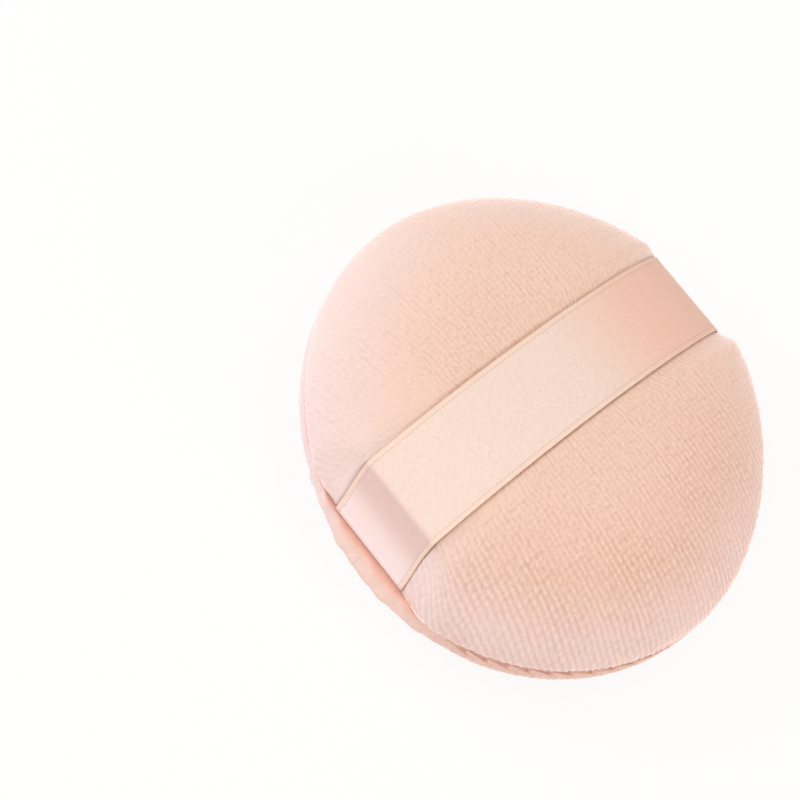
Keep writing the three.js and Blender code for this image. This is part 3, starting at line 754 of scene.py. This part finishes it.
def painted_light_tips(turn, run, upward):
    """How far the pile's tips are painted pale, as if brushed up: painted light on the lit left side and by
    the open lip, from 0 to 1.
    """
    around = turn % math.tau
    by_left = ramp(run, *LEFT_RUN) * ease(np.cos(around - LEFT_TURN) + 0.05)
    by_lip = ease(np.cos(around - LOBE_TURN) + 0.4)
    low_lobe = ramp(run, *LOBE_RUN) * (LOBE_LEAST + (1 - LOBE_LEAST) * by_lip)
    if upward:
        return np.maximum(by_left, low_lobe)
    left_of_lip = 1 - FACE_LEFT_LESS * ramp(around, *FACE_LEFT_END)
    return np.maximum(by_left * left_of_lip, FACE_LIT_TIPS * low_lobe)


def velour_disc(name, cloth, upward):
    """A disc of velour with its hem turned in at the seam: one closed form."""
    woven, flat, faces, rim = disc_grid(cloth.long)
    count, base, sign = len(rim), len(flat), 1 if upward else -1
    flat_turn = np.arctan2(flat[:, 1], flat[:, 0])
    rim_turn = flat_turn[rim]
    turn = np.concatenate([flat_turn, rim_turn])
    run = np.concatenate([np.hypot(flat[:, 0], flat[:, 1]), np.full(count, cloth.long)])
    drawn = pucker_at(turn, cloth.long - run)
    if not upward:
        drawn = drawn + crumple_at(turn, cloth.long - run)
    outward = np.stack([np.cos(turn), np.sin(turn), 0 * turn], -1)
    points = cloth.at(turn, np.maximum(run, 1e-4)) + swelling_at(cloth, turn, run)
    points = points - outward * drawn[:, None]
    points[:, 2] = np.maximum(points[:, 2], 0)
    room = tail_room(rim_turn)
    points[-count:, 2] += sign * room
    foot_r = np.hypot(points[-count:, 0], points[-count:, 1])
    lining = disc_lining(cloth, rim_turn, foot_r, room, sign)
    centre = cloth.points(np.zeros(1), np.full(1, 1e-4), CLOTH_THICK) * [0, 0, 1]
    starts = [base + k * count for k in range(len(lining) + 1)]
    for k, (edge, before) in enumerate(zip(rim, rim[1:] + rim[:1])):
        n = (k + 1) % count
        faces.append([before, edge, base + k, base + n])
        for s, t in zip(starts, starts[1:]):
            faces.append([s + n, s + k, t + k, t + n])
        faces.append([starts[-1] + n, starts[-1] + k, starts[-1] + count])
    if not upward:
        faces = [f[::-1] for f in faces]
    made = mesh_object(name, np.concatenate([points, *lining, centre]), faces)
    laid = np.concatenate([woven, *[woven[rim] * LAID_PAST] * (len(lining) + 1)])
    write_attribute(made.data, "cloth_mm", np.pad(laid, ((0, 0), (0, 1))))
    at_seam = ease((run - cloth.long + SEAM_WARM_START) / SEAM_WARM_WIDE)
    write_attribute(made.data, "in_seam", at_seam, rest=1)
    # painted light: pale pile tips where the light falls
    write_attribute(made.data, "painted_light_tips", painted_light_tips(turn, run, upward))
    stands = pile_standing(turn, run, cloth.long, points[:, 2], upward)
    write_attribute(made.data, "pile_stands", stands)
    made.data.shade_smooth()
    return made


# Nodes
MATH, RANGE, NOISE = "ShaderNodeMath", "ShaderNodeMapRange", "ShaderNodeTexNoise"


def linear(colour):
    """An sRGB hex colour as linear red, green, blue and alpha."""
    parts = [int(colour[i : i + 2], 16) / 255 for i in (1, 3, 5)]
    turned = [c / 12.92 if c <= 0.04045 else ((c + 0.055) / 1.055) ** 2.4 for c in parts]
    return (*turned, 1.0)


def wire(tree, node, sockets):
    """Sets a node's sockets, each to a value or to a link from another node."""
    for name, value in sockets.items():
        if isinstance(value, bpy.types.Node):
            value = value.outputs[0]
        if isinstance(value, bpy.types.NodeSocket):
            tree.links.new(value, node.inputs[name])
        else:
            node.inputs[name].default_value = value


def add(tree, kind, sockets=None, **settings):
    """A node with its settings, its sockets' values and the links into them."""
    node = tree.nodes.new(kind)
    for name, value in settings.items():
        setattr(node, name, value)
    wire(tree, node, sockets or {})
    return node


def wave(tree, place, spacing, stray):
    """A wave from 0 to 1 along a length, its crests `spacing` apart and put off by stray."""
    turns = add(tree, MATH, {0: place, 1: spacing}, operation="DIVIDE")
    put_off = add(tree, MATH, {0: turns, 1: stray}, operation="ADD")
    phase = add(tree, MATH, {0: put_off, 1: math.tau}, operation="MULTIPLY")
    crest = add(tree, MATH, {0: phase}, operation="COSINE")
    return add(tree, MATH, {0: crest, 1: 0.5, 2: 0.5}, operation="MULTIPLY_ADD")


def ribs_tree():
    """Geometry nodes that press the furrows between the velour's ribs and the dents
    between its loops into the cloth."""
    tree = bpy.data.node_groups.new("velour_ribs", "GeometryNodeTree")
    sides = tree.interface
    sides.new_socket("Geometry", in_out="INPUT", socket_type="NodeSocketGeometry")
    for name, value in (
        ("Rib spacing", RIB_SPACE),
        ("Loop spacing", LOOP_SPACE),
        ("Loop share", 0.5),
        ("Furrow depth", 0.28),
        ("Seed", 3.0),
    ):
        socket = sides.new_socket(name, in_out="INPUT", socket_type="NodeSocketFloat")
        socket.default_value = value
    sides.new_socket("Material", in_out="INPUT", socket_type="NodeSocketMaterial")
    sides.new_socket("Geometry", in_out="OUTPUT", socket_type="NodeSocketGeometry")
    given = add(tree, "NodeGroupInput")
    sizes = given.outputs
    named = "GeometryNodeInputNamedAttribute"
    place = add(tree, named, {0: "cloth_mm"}, data_type="FLOAT_VECTOR")
    stands = add(tree, named, {0: "pile_stands"}, data_type="FLOAT")
    apart = add(tree, "ShaderNodeSeparateXYZ", {0: place})
    # slow stray of the ribs, quicker stray of the loops, and uneven tufts, per millimetre
    drift, knit, tufts = (
        add(
            tree,
            NOISE,
            {"Vector": place, "W": sizes["Seed"], "Scale": scale, "Detail": detail},
            noise_dimensions="4D",
        )
        for scale, detail in ((0.3, 1.0), (0.55, 1.5), (1.3, 2.0))
    )
    aside = add(tree, MATH, {0: drift, 1: 0.5}, operation="MULTIPLY")
    along = add(tree, MATH, {0: knit, 1: 1.3}, operation="MULTIPLY")
    ridge = wave(tree, apart.outputs[0], sizes["Rib spacing"], aside)
    loop = wave(tree, apart.outputs[1], sizes["Loop spacing"], along)
    looped = add(tree, RANGE, {0: sizes["Loop share"], 1: 0, 2: 1, 3: 1, 4: loop})
    broken = add(tree, RANGE, {0: tufts, 1: 0.3, 2: 0.65, 3: 0.4, 4: 1.0})
    whole = add(tree, MATH, {0: ridge, 1: looped}, operation="MULTIPLY")
    nap = add(tree, MATH, {0: whole, 1: broken}, operation="MULTIPLY")
    furrow = add(tree, MATH, {0: 1.0, 1: nap}, operation="SUBTRACT")
    standing = add(tree, MATH, {0: furrow, 1: stands}, operation="MULTIPLY")
    crests = add(tree, MATH, {0: 1.0, 1: standing}, operation="SUBTRACT")
    deep = add(tree, MATH, {0: standing, 1: sizes["Furrow depth"]}, operation="MULTIPLY")
    inward = add(tree, MATH, {0: deep, 1: -MM}, operation="MULTIPLY")
    normal = add(tree, "GeometryNodeInputNormal")
    offset = add(tree, "ShaderNodeVectorMath", {0: normal, "Scale": inward}, operation="SCALE")
    marked = add(
        tree,
        "GeometryNodeStoreNamedAttribute",
        {"Geometry": given, "Name": "nap", "Value": crests},
        data_type="FLOAT",
        domain="POINT",
    )
    pressed = add(tree, "GeometryNodeSetPosition", {0: marked, "Offset": offset})
    real = add(tree, "GeometryNodeRealizeInstances", {0: pressed})
    dressed = add(tree, "GeometryNodeSetMaterial", {0: real, "Material": sizes["Material"]})
    add(tree, "NodeGroupOutput", {0: dressed})
    return tree


def run_nodes(made, tree, values):
    """Runs a node tree on an object and keeps the result as its plain mesh."""
    modifier = made.modifiers.new(tree.name, "NODES")
    modifier.node_group = tree
    sockets = {s.name: s.identifier for s in tree.interface.items_tree if s.in_out == "INPUT"}
    for name, value in values.items():
        modifier[sockets[name]] = value
    bpy.context.view_layer.update()
    graph = bpy.context.evaluated_depsgraph_get()
    mesh = bpy.data.meshes.new_from_object(made.evaluated_get(graph))
    made.modifiers.remove(modifier)
    made.data = mesh
    mesh.name = made.name


# Materials
TUFT_SPACE = 0.8  # tufts of pile, a little closer than the loops under them
TUFT_WIDE = 0.75  # from a tuft's middle to its edge, as a share of that space
FIBRES_PER_MM, LEANS_PER_MM = 3.2, 0.09  # clumps of fibres, and patches of leaning pile
SATIN_EDGE, SATIN_EDGE_SOFT = 0.7, 0.1  # the ribbon's woven edge and how it blurs inward
NEEDLE_IN, NEEDLE_SPACE = 0.85, 0.55  # how far in the needle marks are, and how far apart
TWILL_SPACE, WARP_SPACE = 0.45, 0.38  # twice as coarse as real satin, so that they show
TWILL_LEAN = 0.8
SLUBS_PER_MM, PATCHES_PER_MM = 1.3, 0.35  # uneven threads, and patches that catch light
FOAM_CELL = 0.7
THREAD_HAIR = 0.12


def new_surface(name):
    """A new material with its node tree and its surface shader."""
    material = bpy.data.materials.new(name)
    material.use_nodes = True
    tree = material.node_tree
    return material, tree, tree.nodes["Principled BSDF"]


def tinted(tree, first, tints):
    """A colour that is mixed in turn towards each of some tints, by its share."""
    colour = linear(first)
    for share, tint in tints:
        sockets = {0: share, 6: colour, 7: linear(tint)}
        colour = add(tree, "ShaderNodeMix", sockets, data_type="RGBA").outputs[2]
    return colour


def velour(name, deep, tip, blush):
    """Knitted cotton velour, sheared: soft matt pile in ribs, with a pale bloom where it
    is seen edge on, and slow patches where the pile leans another way."""
    material, tree, shader = new_surface(name)
    place, nap, lit_tips, in_seam = (
        add(tree, "ShaderNodeAttribute", attribute_name=attribute)
        for attribute in ("cloth_mm", "nap", "painted_light_tips", "in_seam")
    )
    laid = place.outputs["Vector"]
    tufts = add(
        tree,
        "ShaderNodeTexVoronoi",
        {"Vector": laid, "Scale": 1 / TUFT_SPACE, "Smoothness": 0.7, "Randomness": 0.62},
        voronoi_dimensions="2D",
        feature="SMOOTH_F1",
    )
    fibres, lean = (
        add(
            tree,
            NOISE,
            {"Vector": laid, "Scale": scale, "Detail": detail, "Roughness": roughness},
            noise_dimensions="3D",
        )
        for scale, detail, roughness in ((FIBRES_PER_MM, 3.0, 0.7), (LEANS_PER_MM, 4.0, 0.62))
    )
    # the nap, the tufts and the fibres together say how deep the eye looks into the pile: partly painted
    # shade, darker deep in the furrows and between tufts, paler on the crests
    from_tuft = tufts.outputs["Distance"]
    tuft = add(tree, RANGE, {0: from_tuft, 1: 0.0, 2: TUFT_WIDE, 3: 1.0, 4: 0.0})
    ribbed = add(tree, MATH, {0: nap.outputs["Fac"], 1: 0.7, 2: -0.05}, operation="MULTIPLY_ADD")
    height = add(tree, MATH, {0: tuft, 1: 0.25, 2: ribbed}, operation="MULTIPLY_ADD")
    uneven = add(tree, MATH, {0: fibres, 1: 0.7, 2: height}, operation="MULTIPLY_ADD")
    shade = add(tree, RANGE, {0: uneven, 1: 0.4, 2: 1.0, 3: 0.0, 4: 1.0})
    # patches where the pile leans another way, then painted light: pale tips of pile, as if brushed up,
    # on the lit left side and towards the open lip, then the painted warm light that comes through the pile
    # in the seam
    leaning = add(tree, RANGE, {0: lean, 1: 0.35, 2: 0.65, 3: 0.0, 4: 0.45})
    tips = add(tree, RANGE, {0: shade, 1: 0.0, 2: 1.0, 3: 0.48, 4: 0.7})
    pale = add(tree, MATH, {0: lit_tips.outputs["Fac"], 1: tips}, operation="MULTIPLY")
    warm = add(tree, MATH, {0: in_seam.outputs["Fac"], 1: 0.42}, operation="MULTIPLY")
    tints = ((shade, tip), (leaning, blush), (pale, "#eed9d8"), (warm, "#f6ac94"))
    relief = add(tree, MATH, {0: fibres, 1: 0.6, 2: tuft}, operation="MULTIPLY_ADD")
    bump = add(tree, "ShaderNodeBump", {"Height": relief, "Distance": 0.12 * MM, "Strength": 0.8})
    bloom = add(tree, "ShaderNodeBsdfSheen", {"Color": linear("#c6bebf"), "Roughness": 0.4, "Normal": bump})
    bloomed = add(tree, "ShaderNodeAddShader", {0: shader, 1: bloom})
    wire(tree, tree.nodes["Material Output"], {"Surface": bloomed})
    wire(tree, shader, {
        "Base Color": tinted(tree, deep, tints),
        "Normal": bump,
        "Subsurface Weight": 0.08,
        "Subsurface Radius": (1.0, 0.45, 0.3),
        "Subsurface Scale": 1.2 * MM,
        "Roughness": 0.95,
        "Specular IOR Level": 0.15,
        "Sheen Weight": 1.0,
        "Sheen Roughness": 0.35,
        "Sheen Tint": linear("#fff4f0"),
    })
    return material


def satin(name):
    """Single-faced polyester satin ribbon: smooth long floats with a soft gloss, cream
    woven edges and a fine row of needle marks inside each."""
    material, tree, shader = new_surface(name)
    place, far_end, bend, foot = (
        add(tree, "ShaderNodeAttribute", attribute_name=attribute)
        for attribute in ("ribbon_mm", "painted_far_shade", "painted_bend_shade", "painted_foot_light")
    )
    apart = add(tree, "ShaderNodeSeparateXYZ", {0: place.outputs["Vector"]})
    sideways, lengthways = apart.outputs[0], apart.outputs[1]
    across = add(tree, MATH, {0: sideways}, operation="ABSOLUTE")
    edge_starts = RIBBON_HALF - SATIN_EDGE - SATIN_EDGE_SOFT
    edge_whole = RIBBON_HALF - SATIN_EDGE + SATIN_EDGE_SOFT
    edge = add(
        tree,
        RANGE,
        {0: across, 1: edge_starts, 2: edge_whole, 3: 0.0, 4: 1.0},
        interpolation_type="SMOOTHSTEP",
    )
    # a row of needle marks inside each edge
    needle_line = RIBBON_HALF - NEEDLE_IN
    beside = add(tree, MATH, {0: across, 1: needle_line}, operation="SUBTRACT")
    off_line = add(tree, MATH, {0: beside}, operation="ABSOLUTE")
    on_line = add(
        tree,
        RANGE,
        {0: off_line, 1: 0.04, 2: 0.18, 3: 0.8, 4: 0.0},
        interpolation_type="SMOOTHSTEP",
    )
    beats = math.tau / NEEDLE_SPACE
    beat = add(tree, MATH, {0: lengthways, 1: beats}, operation="MULTIPLY")
    mark = add(tree, MATH, {0: beat}, operation="SINE")
    dotted = add(tree, RANGE, {0: mark, 1: -0.4, 2: 0.8, 3: 0.15, 4: 1.0})
    needle = add(tree, MATH, {0: on_line, 1: dotted}, operation="MULTIPLY")
    # the weave: twill lines that lean across the band, and warp threads along it
    lean = add(tree, MATH, {0: sideways, 1: TWILL_LEAN, 2: lengthways}, operation="MULTIPLY_ADD")
    twill_phase = add(tree, MATH, {0: lean, 1: math.tau / TWILL_SPACE}, operation="MULTIPLY")
    twill = add(tree, MATH, {0: twill_phase}, operation="SINE")
    warp_phase = add(tree, MATH, {0: sideways, 1: math.tau / WARP_SPACE}, operation="MULTIPLY")
    warp = add(tree, MATH, {0: warp_phase}, operation="SINE")
    weave = add(tree, MATH, {0: twill, 1: warp}, operation="ADD")
    slubs, patches = (
        add(
            tree,
            NOISE,
            {"Vector": place.outputs["Vector"], "Scale": scale, **more},
            noise_dimensions="3D",
        )
        for scale, more in (
            (SLUBS_PER_MM, {"Detail": 4.0, "Roughness": 0.7}),
            (PATCHES_PER_MM, {"Detail": 2.0}),
        )
    )
    uneven = add(tree, RANGE, {0: slubs, 1: 0.36, 2: 0.64, 3: 0.0, 4: 1.0})
    # the weave shows in patches, as light catches it
    shows = add(tree, RANGE, {0: patches, 1: 0.3, 2: 0.7, 3: 0.35, 4: 1.25})
    patchy = add(tree, MATH, {0: weave, 1: shows}, operation="MULTIPLY")
    threads = add(tree, RANGE, {0: patchy, 1: -1.6, 2: 1.6, 3: 0.0, 4: 0.75})
    # painted shade at the far end, which also fades the cream edges there
    turned = far_end.outputs["Fac"]
    plain = add(tree, RANGE, {0: turned, 1: 0.0, 2: 0.5, 3: 1.0, 4: 0.3})
    cream = add(tree, MATH, {0: edge, 1: plain}, operation="MULTIPLY")
    # painted shade and light: a deeper tone painted at the far end, where the satin turns away from
    # the light, a cooler painted shade under the near bend, and a pale pink painted light on the near foot
    # below it
    colour = tinted(tree, "#dfbeae", (
        (uneven, "#e9ccbe"),
        (threads, "#f8e4d9"),
        (turned, "#f5b398"),
        (bend.outputs["Fac"], "#e2b8b5"),
        (foot.outputs["Fac"], "#f3dad7"),
        (cream, "#efd0bd"),
        (needle, "#cda893"),
    ))
    raised = add(tree, MATH, {0: needle, 1: -3.0, 2: weave}, operation="MULTIPLY_ADD")
    bump = add(tree, "ShaderNodeBump", {"Height": raised, "Distance": 0.012 * MM, "Strength": 0.6})
    wire(tree, shader, {"Base Color": colour, "Normal": bump, "Roughness": 0.4, "Specular IOR Level": 1.0})
    return material


def foam_stuff(name):
    """Open-celled polyurethane foam: matt cream with small round cells."""
    material, tree, shader = new_surface(name)
    place = add(tree, "ShaderNodeTexCoord").outputs["Object"]
    cells = add(tree, "ShaderNodeTexVoronoi", {"Vector": place, "Scale": 1 / (FOAM_CELL * MM)})
    wall = cells.outputs["Distance"]
    colour = tinted(tree, "#e6dac6", [(wall, "#f6efe2")])
    bump = add(tree, "ShaderNodeBump", {"Height": wall, "Distance": 0.2 * MM, "Strength": 0.7})
    wire(tree, shader, {"Base Color": colour, "Normal": bump, "Roughness": 0.92})
    return material


def sewing_thread(name, colour, dark):
    """Spun polyester sewing thread: fine hairs over a low lustre."""
    material, tree, shader = new_surface(name)
    place = add(tree, "ShaderNodeTexCoord").outputs["Object"]
    hairs = add(tree, NOISE, {"Vector": place, "Scale": 1 / (THREAD_HAIR * MM), "Detail": 2.0})
    tone = tinted(tree, dark, [(hairs, colour)])
    bump = add(tree, "ShaderNodeBump", {"Height": hairs, "Distance": 0.03 * MM, "Strength": 0.6})
    wire(tree, shader, {"Base Color": tone, "Normal": bump, "Roughness": 0.6})
    return material


back_velour = velour("back_cotton_velour", "#ca947e", "#eecdba", "#e9c4b3")
face_velour = velour("face_cotton_velour", "#d19885", "#ecc9ba", "#e9c4b6")
ribbon_satin = satin("polyester_satin_ribbon")
foam_cells = foam_stuff("open_cell_foam")
machine_thread = sewing_thread("machine_sewing_thread", "#f0cfc2", "#e4bcac")
hand_thread = sewing_thread("hand_sewing_thread", "#efcec1", "#e2baaa")


# Cloths
ribs = ribs_tree()
back_piece = velour_disc("back_velour_disc", back_cloth, True)
run_nodes(back_piece, ribs, {"Seed": 3.0, "Material": back_velour})
face_piece = velour_disc("face_velour_disc", face_cloth, False)
run_nodes(face_piece, ribs, {"Seed": 11.0, "Material": face_velour})
for piece, node, slot in (
    (back_piece, "back_cloth", "back_velour"),
    (face_piece, "face_cloth", "face_velour"),
):
    piece.data.shade_smooth()
    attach(piece, "pad")
    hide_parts(node)


# Foam
FOAM_COLUMNS, FOAM_ROWS, FOAM_EDGE_ROWS = 144, 22, 7
FOAM_ROW_SHARES = (0.08, 0.9)  # its first and last row above and below the seam
FOAM_IN = 0.25  # how much smaller it is than the CAD's foam
FOAM_LEVEL_CLEAR = 0.4  # between its edge and the nearest row
FOAM_TOP_IN = 0.6


def foam_piece():
    """The foam cushion: full under the crowns, pressed in round its edge by the hems."""
    turn = np.arange(FOAM_COLUMNS) / FOAM_COLUMNS * math.tau
    lift = RUN_HIGH + STITCH_IN
    inset = FOAM_CLEAR + FOAM_IN
    beside = stitch_at(turn, CLOTH_THICK + RUN_GAP * 4)
    edge = beside - HEM_STEP - STITCH_IN * 2 - FIT_GAP - FOAM_IN
    shares = np.linspace(*FOAM_ROW_SHARES, FOAM_ROWS)
    rows = [np.full(FOAM_COLUMNS, s * QUARTER) for s in shares]
    upper = [back_points(turn, row, inset, PRESS_PAST + CLOTH_THICK) for row in rows]
    lower = [face_points(turn, row, inset) for row in rows[::-1]]
    rings = [r for r in upper if r[:, 2].min() > SEAM_Z + lift + FOAM_LEVEL_CLEAR]
    rings += [on_ring(turn, edge, z) for z in np.linspace(lift, -lift, FOAM_EDGE_ROWS)]
    rings += [r for r in lower if r[:, 2].max() < SEAM_Z - lift - FOAM_LEVEL_CLEAR]
    top = [[0, 0, SEAM_Z + ARCH_TOP - RIBBON_THICK - FOAM_CLEAR - FOAM_TOP_IN]]
    points = np.concatenate([top, *rings, [[0, 0, inset - REST_CUT]]])
    faces = ring_faces(len(rings), FOAM_COLUMNS, 1, 0, len(points) - 1)
    made = mesh_object("foam_cushion", points, faces)
    made.data.shade_smooth()
    made.data.materials.append(foam_cells)
    return made


foam = foam_piece()
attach(foam, "pad")
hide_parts("foam_core")


# Ribbon
LINE_STEP = 0.35  # along the ribbon
LINE_STEPS, TURN_STEPS = 1500, 12
CORD_R, CORD_HALF_HIGH = 0.35, 0.14  # the cord woven along each edge
BAND_HALF_HIGH, EDGE_HALF_HIGH = 0.11, 0.02
BAND_IN = 0.6  # the band's own thickness ends this far inside the edge
CORD_STEPS, BAND_STEPS = 7, 34
CORD_IN, BAND_POINTS_IN = 0.8, 1.1  # the cord's and the band's points start this far in
FOOT_PAINTED_LIGHT = (0.2, 4.4)  # the foot's painted light comes in between these, out from the shoulder
# painted shade under the near bend, and at the far end where the satin turns away
BEND_SHADE_START, BEND_SHADE_END, BEND_PAINTED_SHADE = (-1.5, 0.4), (34.0, 31.2), 0.72
FAR_SHADE_START, FAR_PAINTED_SHADE = (5, 25), 0.5
JOIN_CLEAR = 0.05  # between the ribbon's turn and its side
OUT_FROM = (0, -3)  # a place inside the pad that the ribbon's outer side faces away from


def ribbon_foot(far, foot):
    """The turn of the ribbon from its side into the tail that lies between the hems."""
    slant = 0 if far else math.atan2(SIDE_NORM_Z, SIDE_NORM_X)
    inner = QUARTER - slant
    back = RIBBON_TURN / math.tan(inner / 2)
    out = np.array([-math.cos(inner), math.sin(inner)])
    start = np.array([foot, 0.0]) + out * back
    centre = np.array([foot - back, RIBBON_TURN])
    first = math.atan2(*(start - centre)[::-1])
    sweep = np.linspace(first, -QUARTER, TURN_STEPS)
    arc = centre + RIBBON_TURN * np.stack([np.cos(sweep), np.sin(sweep)], -1)
    tail = float(stitch_pulled(np.array(0.0 if far else math.pi))) - HEM_STEP
    return np.concatenate([[[tail, 0.0]], arc[::-1]])


def ribbon_line():
    """The ribbon's middle line as X and height above the seam, from tail to tail."""
    up = np.linspace(0, math.pi, LINE_STEPS)
    ux, uz = np.cos(up), np.sin(up)
    reach = ribbon_reach(ux, uz, RIBBON_THICK / 2)
    line = np.stack([ux * reach, uz * reach], -1)
    far = ribbon_foot(True, line[0, 0])
    near = ribbon_foot(False, -line[-1, 0]) * [-1, 1]
    high = np.where(line[:, 0] > 0, far[-1, 1], near[-1, 1])
    whole = np.concatenate([far, line[line[:, 1] > high + JOIN_CLEAR], near[::-1]])
    run = np.concatenate([[0], np.cumsum(np.hypot(*np.diff(whole, axis=0).T))])
    even = np.linspace(0, run[-1], round(run[-1] / LINE_STEP) + 1)
    return np.stack([np.interp(even, run, whole[:, k]) for k in (0, 1)], -1), even


def ribbon_section():
    """The ribbon cut across, as places across it and heights: a rounder cord along each
    edge and the thin band between."""
    cord = np.linspace(RIBBON_HALF - CORD_IN, RIBBON_HALF, CORD_STEPS)
    band_half = RIBBON_HALF - BAND_POINTS_IN
    across = np.concatenate([-cord[::-1], np.linspace(-band_half, band_half, BAND_STEPS), cord])
    over_cord = (np.abs(across) - (RIBBON_HALF - CORD_R)) / CORD_R
    cord_high = np.where(over_cord > -1, np.sqrt(np.maximum(1 - over_cord**2, 0)), 0)
    in_band = np.abs(across) < RIBBON_HALF - BAND_IN
    band_high = np.where(in_band, BAND_HALF_HIGH, EDGE_HALF_HIGH)
    high = np.maximum(cord_high * CORD_HALF_HIGH, band_high)
    round_it = np.concatenate([across, across[-2:0:-1]])
    return round_it, np.concatenate([high, -high[-2:0:-1]])


def satin_ribbon():
    """The ribbon as a thin woven band that follows its line from tail to tail."""
    line, run = ribbon_line()
    ahead = np.gradient(line, axis=0)
    ahead /= np.linalg.norm(ahead, axis=1, keepdims=True)
    out = np.stack([ahead[:, 1], -ahead[:, 0]], -1)
    out *= np.sign(np.sum(out * (line - OUT_FROM), axis=1, keepdims=True))
    across, high = ribbon_section()
    x, z, out_x, out_z, along = np.repeat([*line.T, *out.T, run], len(across), axis=1)
    across, high = np.tile(across, len(line)), np.tile(high, len(line))
    points = np.stack([x + out_x * high, ribbon_y(x) + across, SEAM_Z + z + out_z * high], -1)
    n = len(points) // len(line)
    faces = []
    for a in range(0, len(points) - n, n):
        for k in range(n):
            m = (k + 1) % n
            faces.append((a + k, a + m, a + n + m, a + n + k))
    faces.append(tuple(range(n))[::-1])
    faces.append(tuple(range(len(points) - n, len(points))))
    made = mesh_object("satin_finger_ribbon", points, faces)
    from_shoulder = -x - SHOULDER_X
    bend = ramp(from_shoulder, *BEND_SHADE_START) * ramp(-x, *BEND_SHADE_END)
    write_attribute(made.data, "ribbon_mm", np.stack([across, along, high], -1))
    # painted light on the near foot, painted shade under the near bend and at the far end
    write_attribute(made.data, "painted_foot_light", ramp(from_shoulder, *FOOT_PAINTED_LIGHT))
    write_attribute(made.data, "painted_far_shade", FAR_PAINTED_SHADE * ramp(x, *FAR_SHADE_START))
    write_attribute(made.data, "painted_bend_shade", BEND_PAINTED_SHADE * bend)
    made.data.shade_smooth()
    made.data.materials.append(ribbon_satin)
    return made, float(run[-1])


ribbon, ribbon_long = satin_ribbon()
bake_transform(ribbon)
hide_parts("satin_ribbon")

# Threads keep their CAD form
for node, material in (("rim_seam_thread", machine_thread), ("closing_thread", hand_thread)):
    thread_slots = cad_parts[node].data.materials
    thread_slots.clear()
    thread_slots.append(material)


# Floor, light and world
FLOOR_HALF = 1500
FLOOR_GLOW = 0.88  # share of white that the camera sees on the floor


def area_lamp(name, aside, upward, back, size, watts, colour):
    """A soft square lamp that faces the puff, placed by the picture's own directions."""
    lamp = bpy.data.lights.new(name, "AREA")
    lamp.shape = "SQUARE"
    lamp.size = size
    lamp.energy = watts
    lamp.color = colour
    made = bpy.data.objects.new(name, lamp)
    place = seam_middle + view_right * aside + view_up * upward + view_back * back
    made.matrix_world = Matrix.Translation(place) @ (
        (place - seam_middle).to_track_quat("Z", "Y").to_matrix().to_4x4()
    )
    bpy.context.collection.objects.link(made)


area_lamp("front_light", -0.12, 0.02, 0.5, 0.35, 0.56, (0.96, 1.0, 1.05))
area_lamp("left_light", -0.45, 0.42, 0.3, 0.45, 1.94, (0.93, 1.0, 1.11))
area_lamp("overhead_light", 0.2, 0.24, 0.4, 0.3, 0.54, (1.07, 1.0, 0.92))
area_lamp("low_light", 0.48, -0.36, 0.32, 0.45, 1.52, (1.02, 1.0, 0.98))


def white_table(name):
    """Smooth white card: it takes the puff's shadow and looks nearly white to the camera."""
    material = bpy.data.materials.new(name)
    material.use_nodes = True
    tree = material.node_tree
    tree.nodes.clear()
    paper = add(tree, "ShaderNodeBsdfDiffuse", {"Color": linear("#f4f2f0")})
    bright = add(tree, "ShaderNodeEmission", {"Color": (1, 1, 1, 1), "Strength": 1.0})
    by_camera = add(tree, "ShaderNodeLightPath").outputs["Is Camera Ray"]
    glow = add(tree, MATH, {0: by_camera, 1: FLOOR_GLOW}, operation="MULTIPLY")
    card = add(tree, "ShaderNodeMixShader", {0: glow, 1: paper, 2: bright})
    add(tree, "ShaderNodeOutputMaterial", {0: card})
    return material


corners = [(-FLOOR_HALF, -FLOOR_HALF, 0), (FLOOR_HALF, -FLOOR_HALF, 0)]
corners += [(FLOOR_HALF, FLOOR_HALF, 0), (-FLOOR_HALF, FLOOR_HALF, 0)]
floor = mesh_object("floor", corners, [(0, 1, 2, 3)], shift=False)
floor.data.materials.append(white_table("white_table"))

# The room's soft light, which the camera sees as plain white
world = bpy.data.worlds.new("soft_room")
bpy.context.scene.world = world
world.use_nodes = True
sky = world.node_tree
sky.nodes.clear()
room = add(sky, "ShaderNodeBackground", {"Color": (1.06, 1.0, 0.94, 1.0), "Strength": 0.46})
white = add(sky, "ShaderNodeBackground", {"Color": (1, 1, 1, 1), "Strength": 1.0})
sky_seen = add(sky, "ShaderNodeLightPath").outputs["Is Camera Ray"]
sky_shown = add(sky, "ShaderNodeMixShader", {0: sky_seen, 1: room, 2: white})
add(sky, "ShaderNodeOutputWorld", {0: sky_shown})

bpy.context.scene.view_settings.view_transform = "Standard"
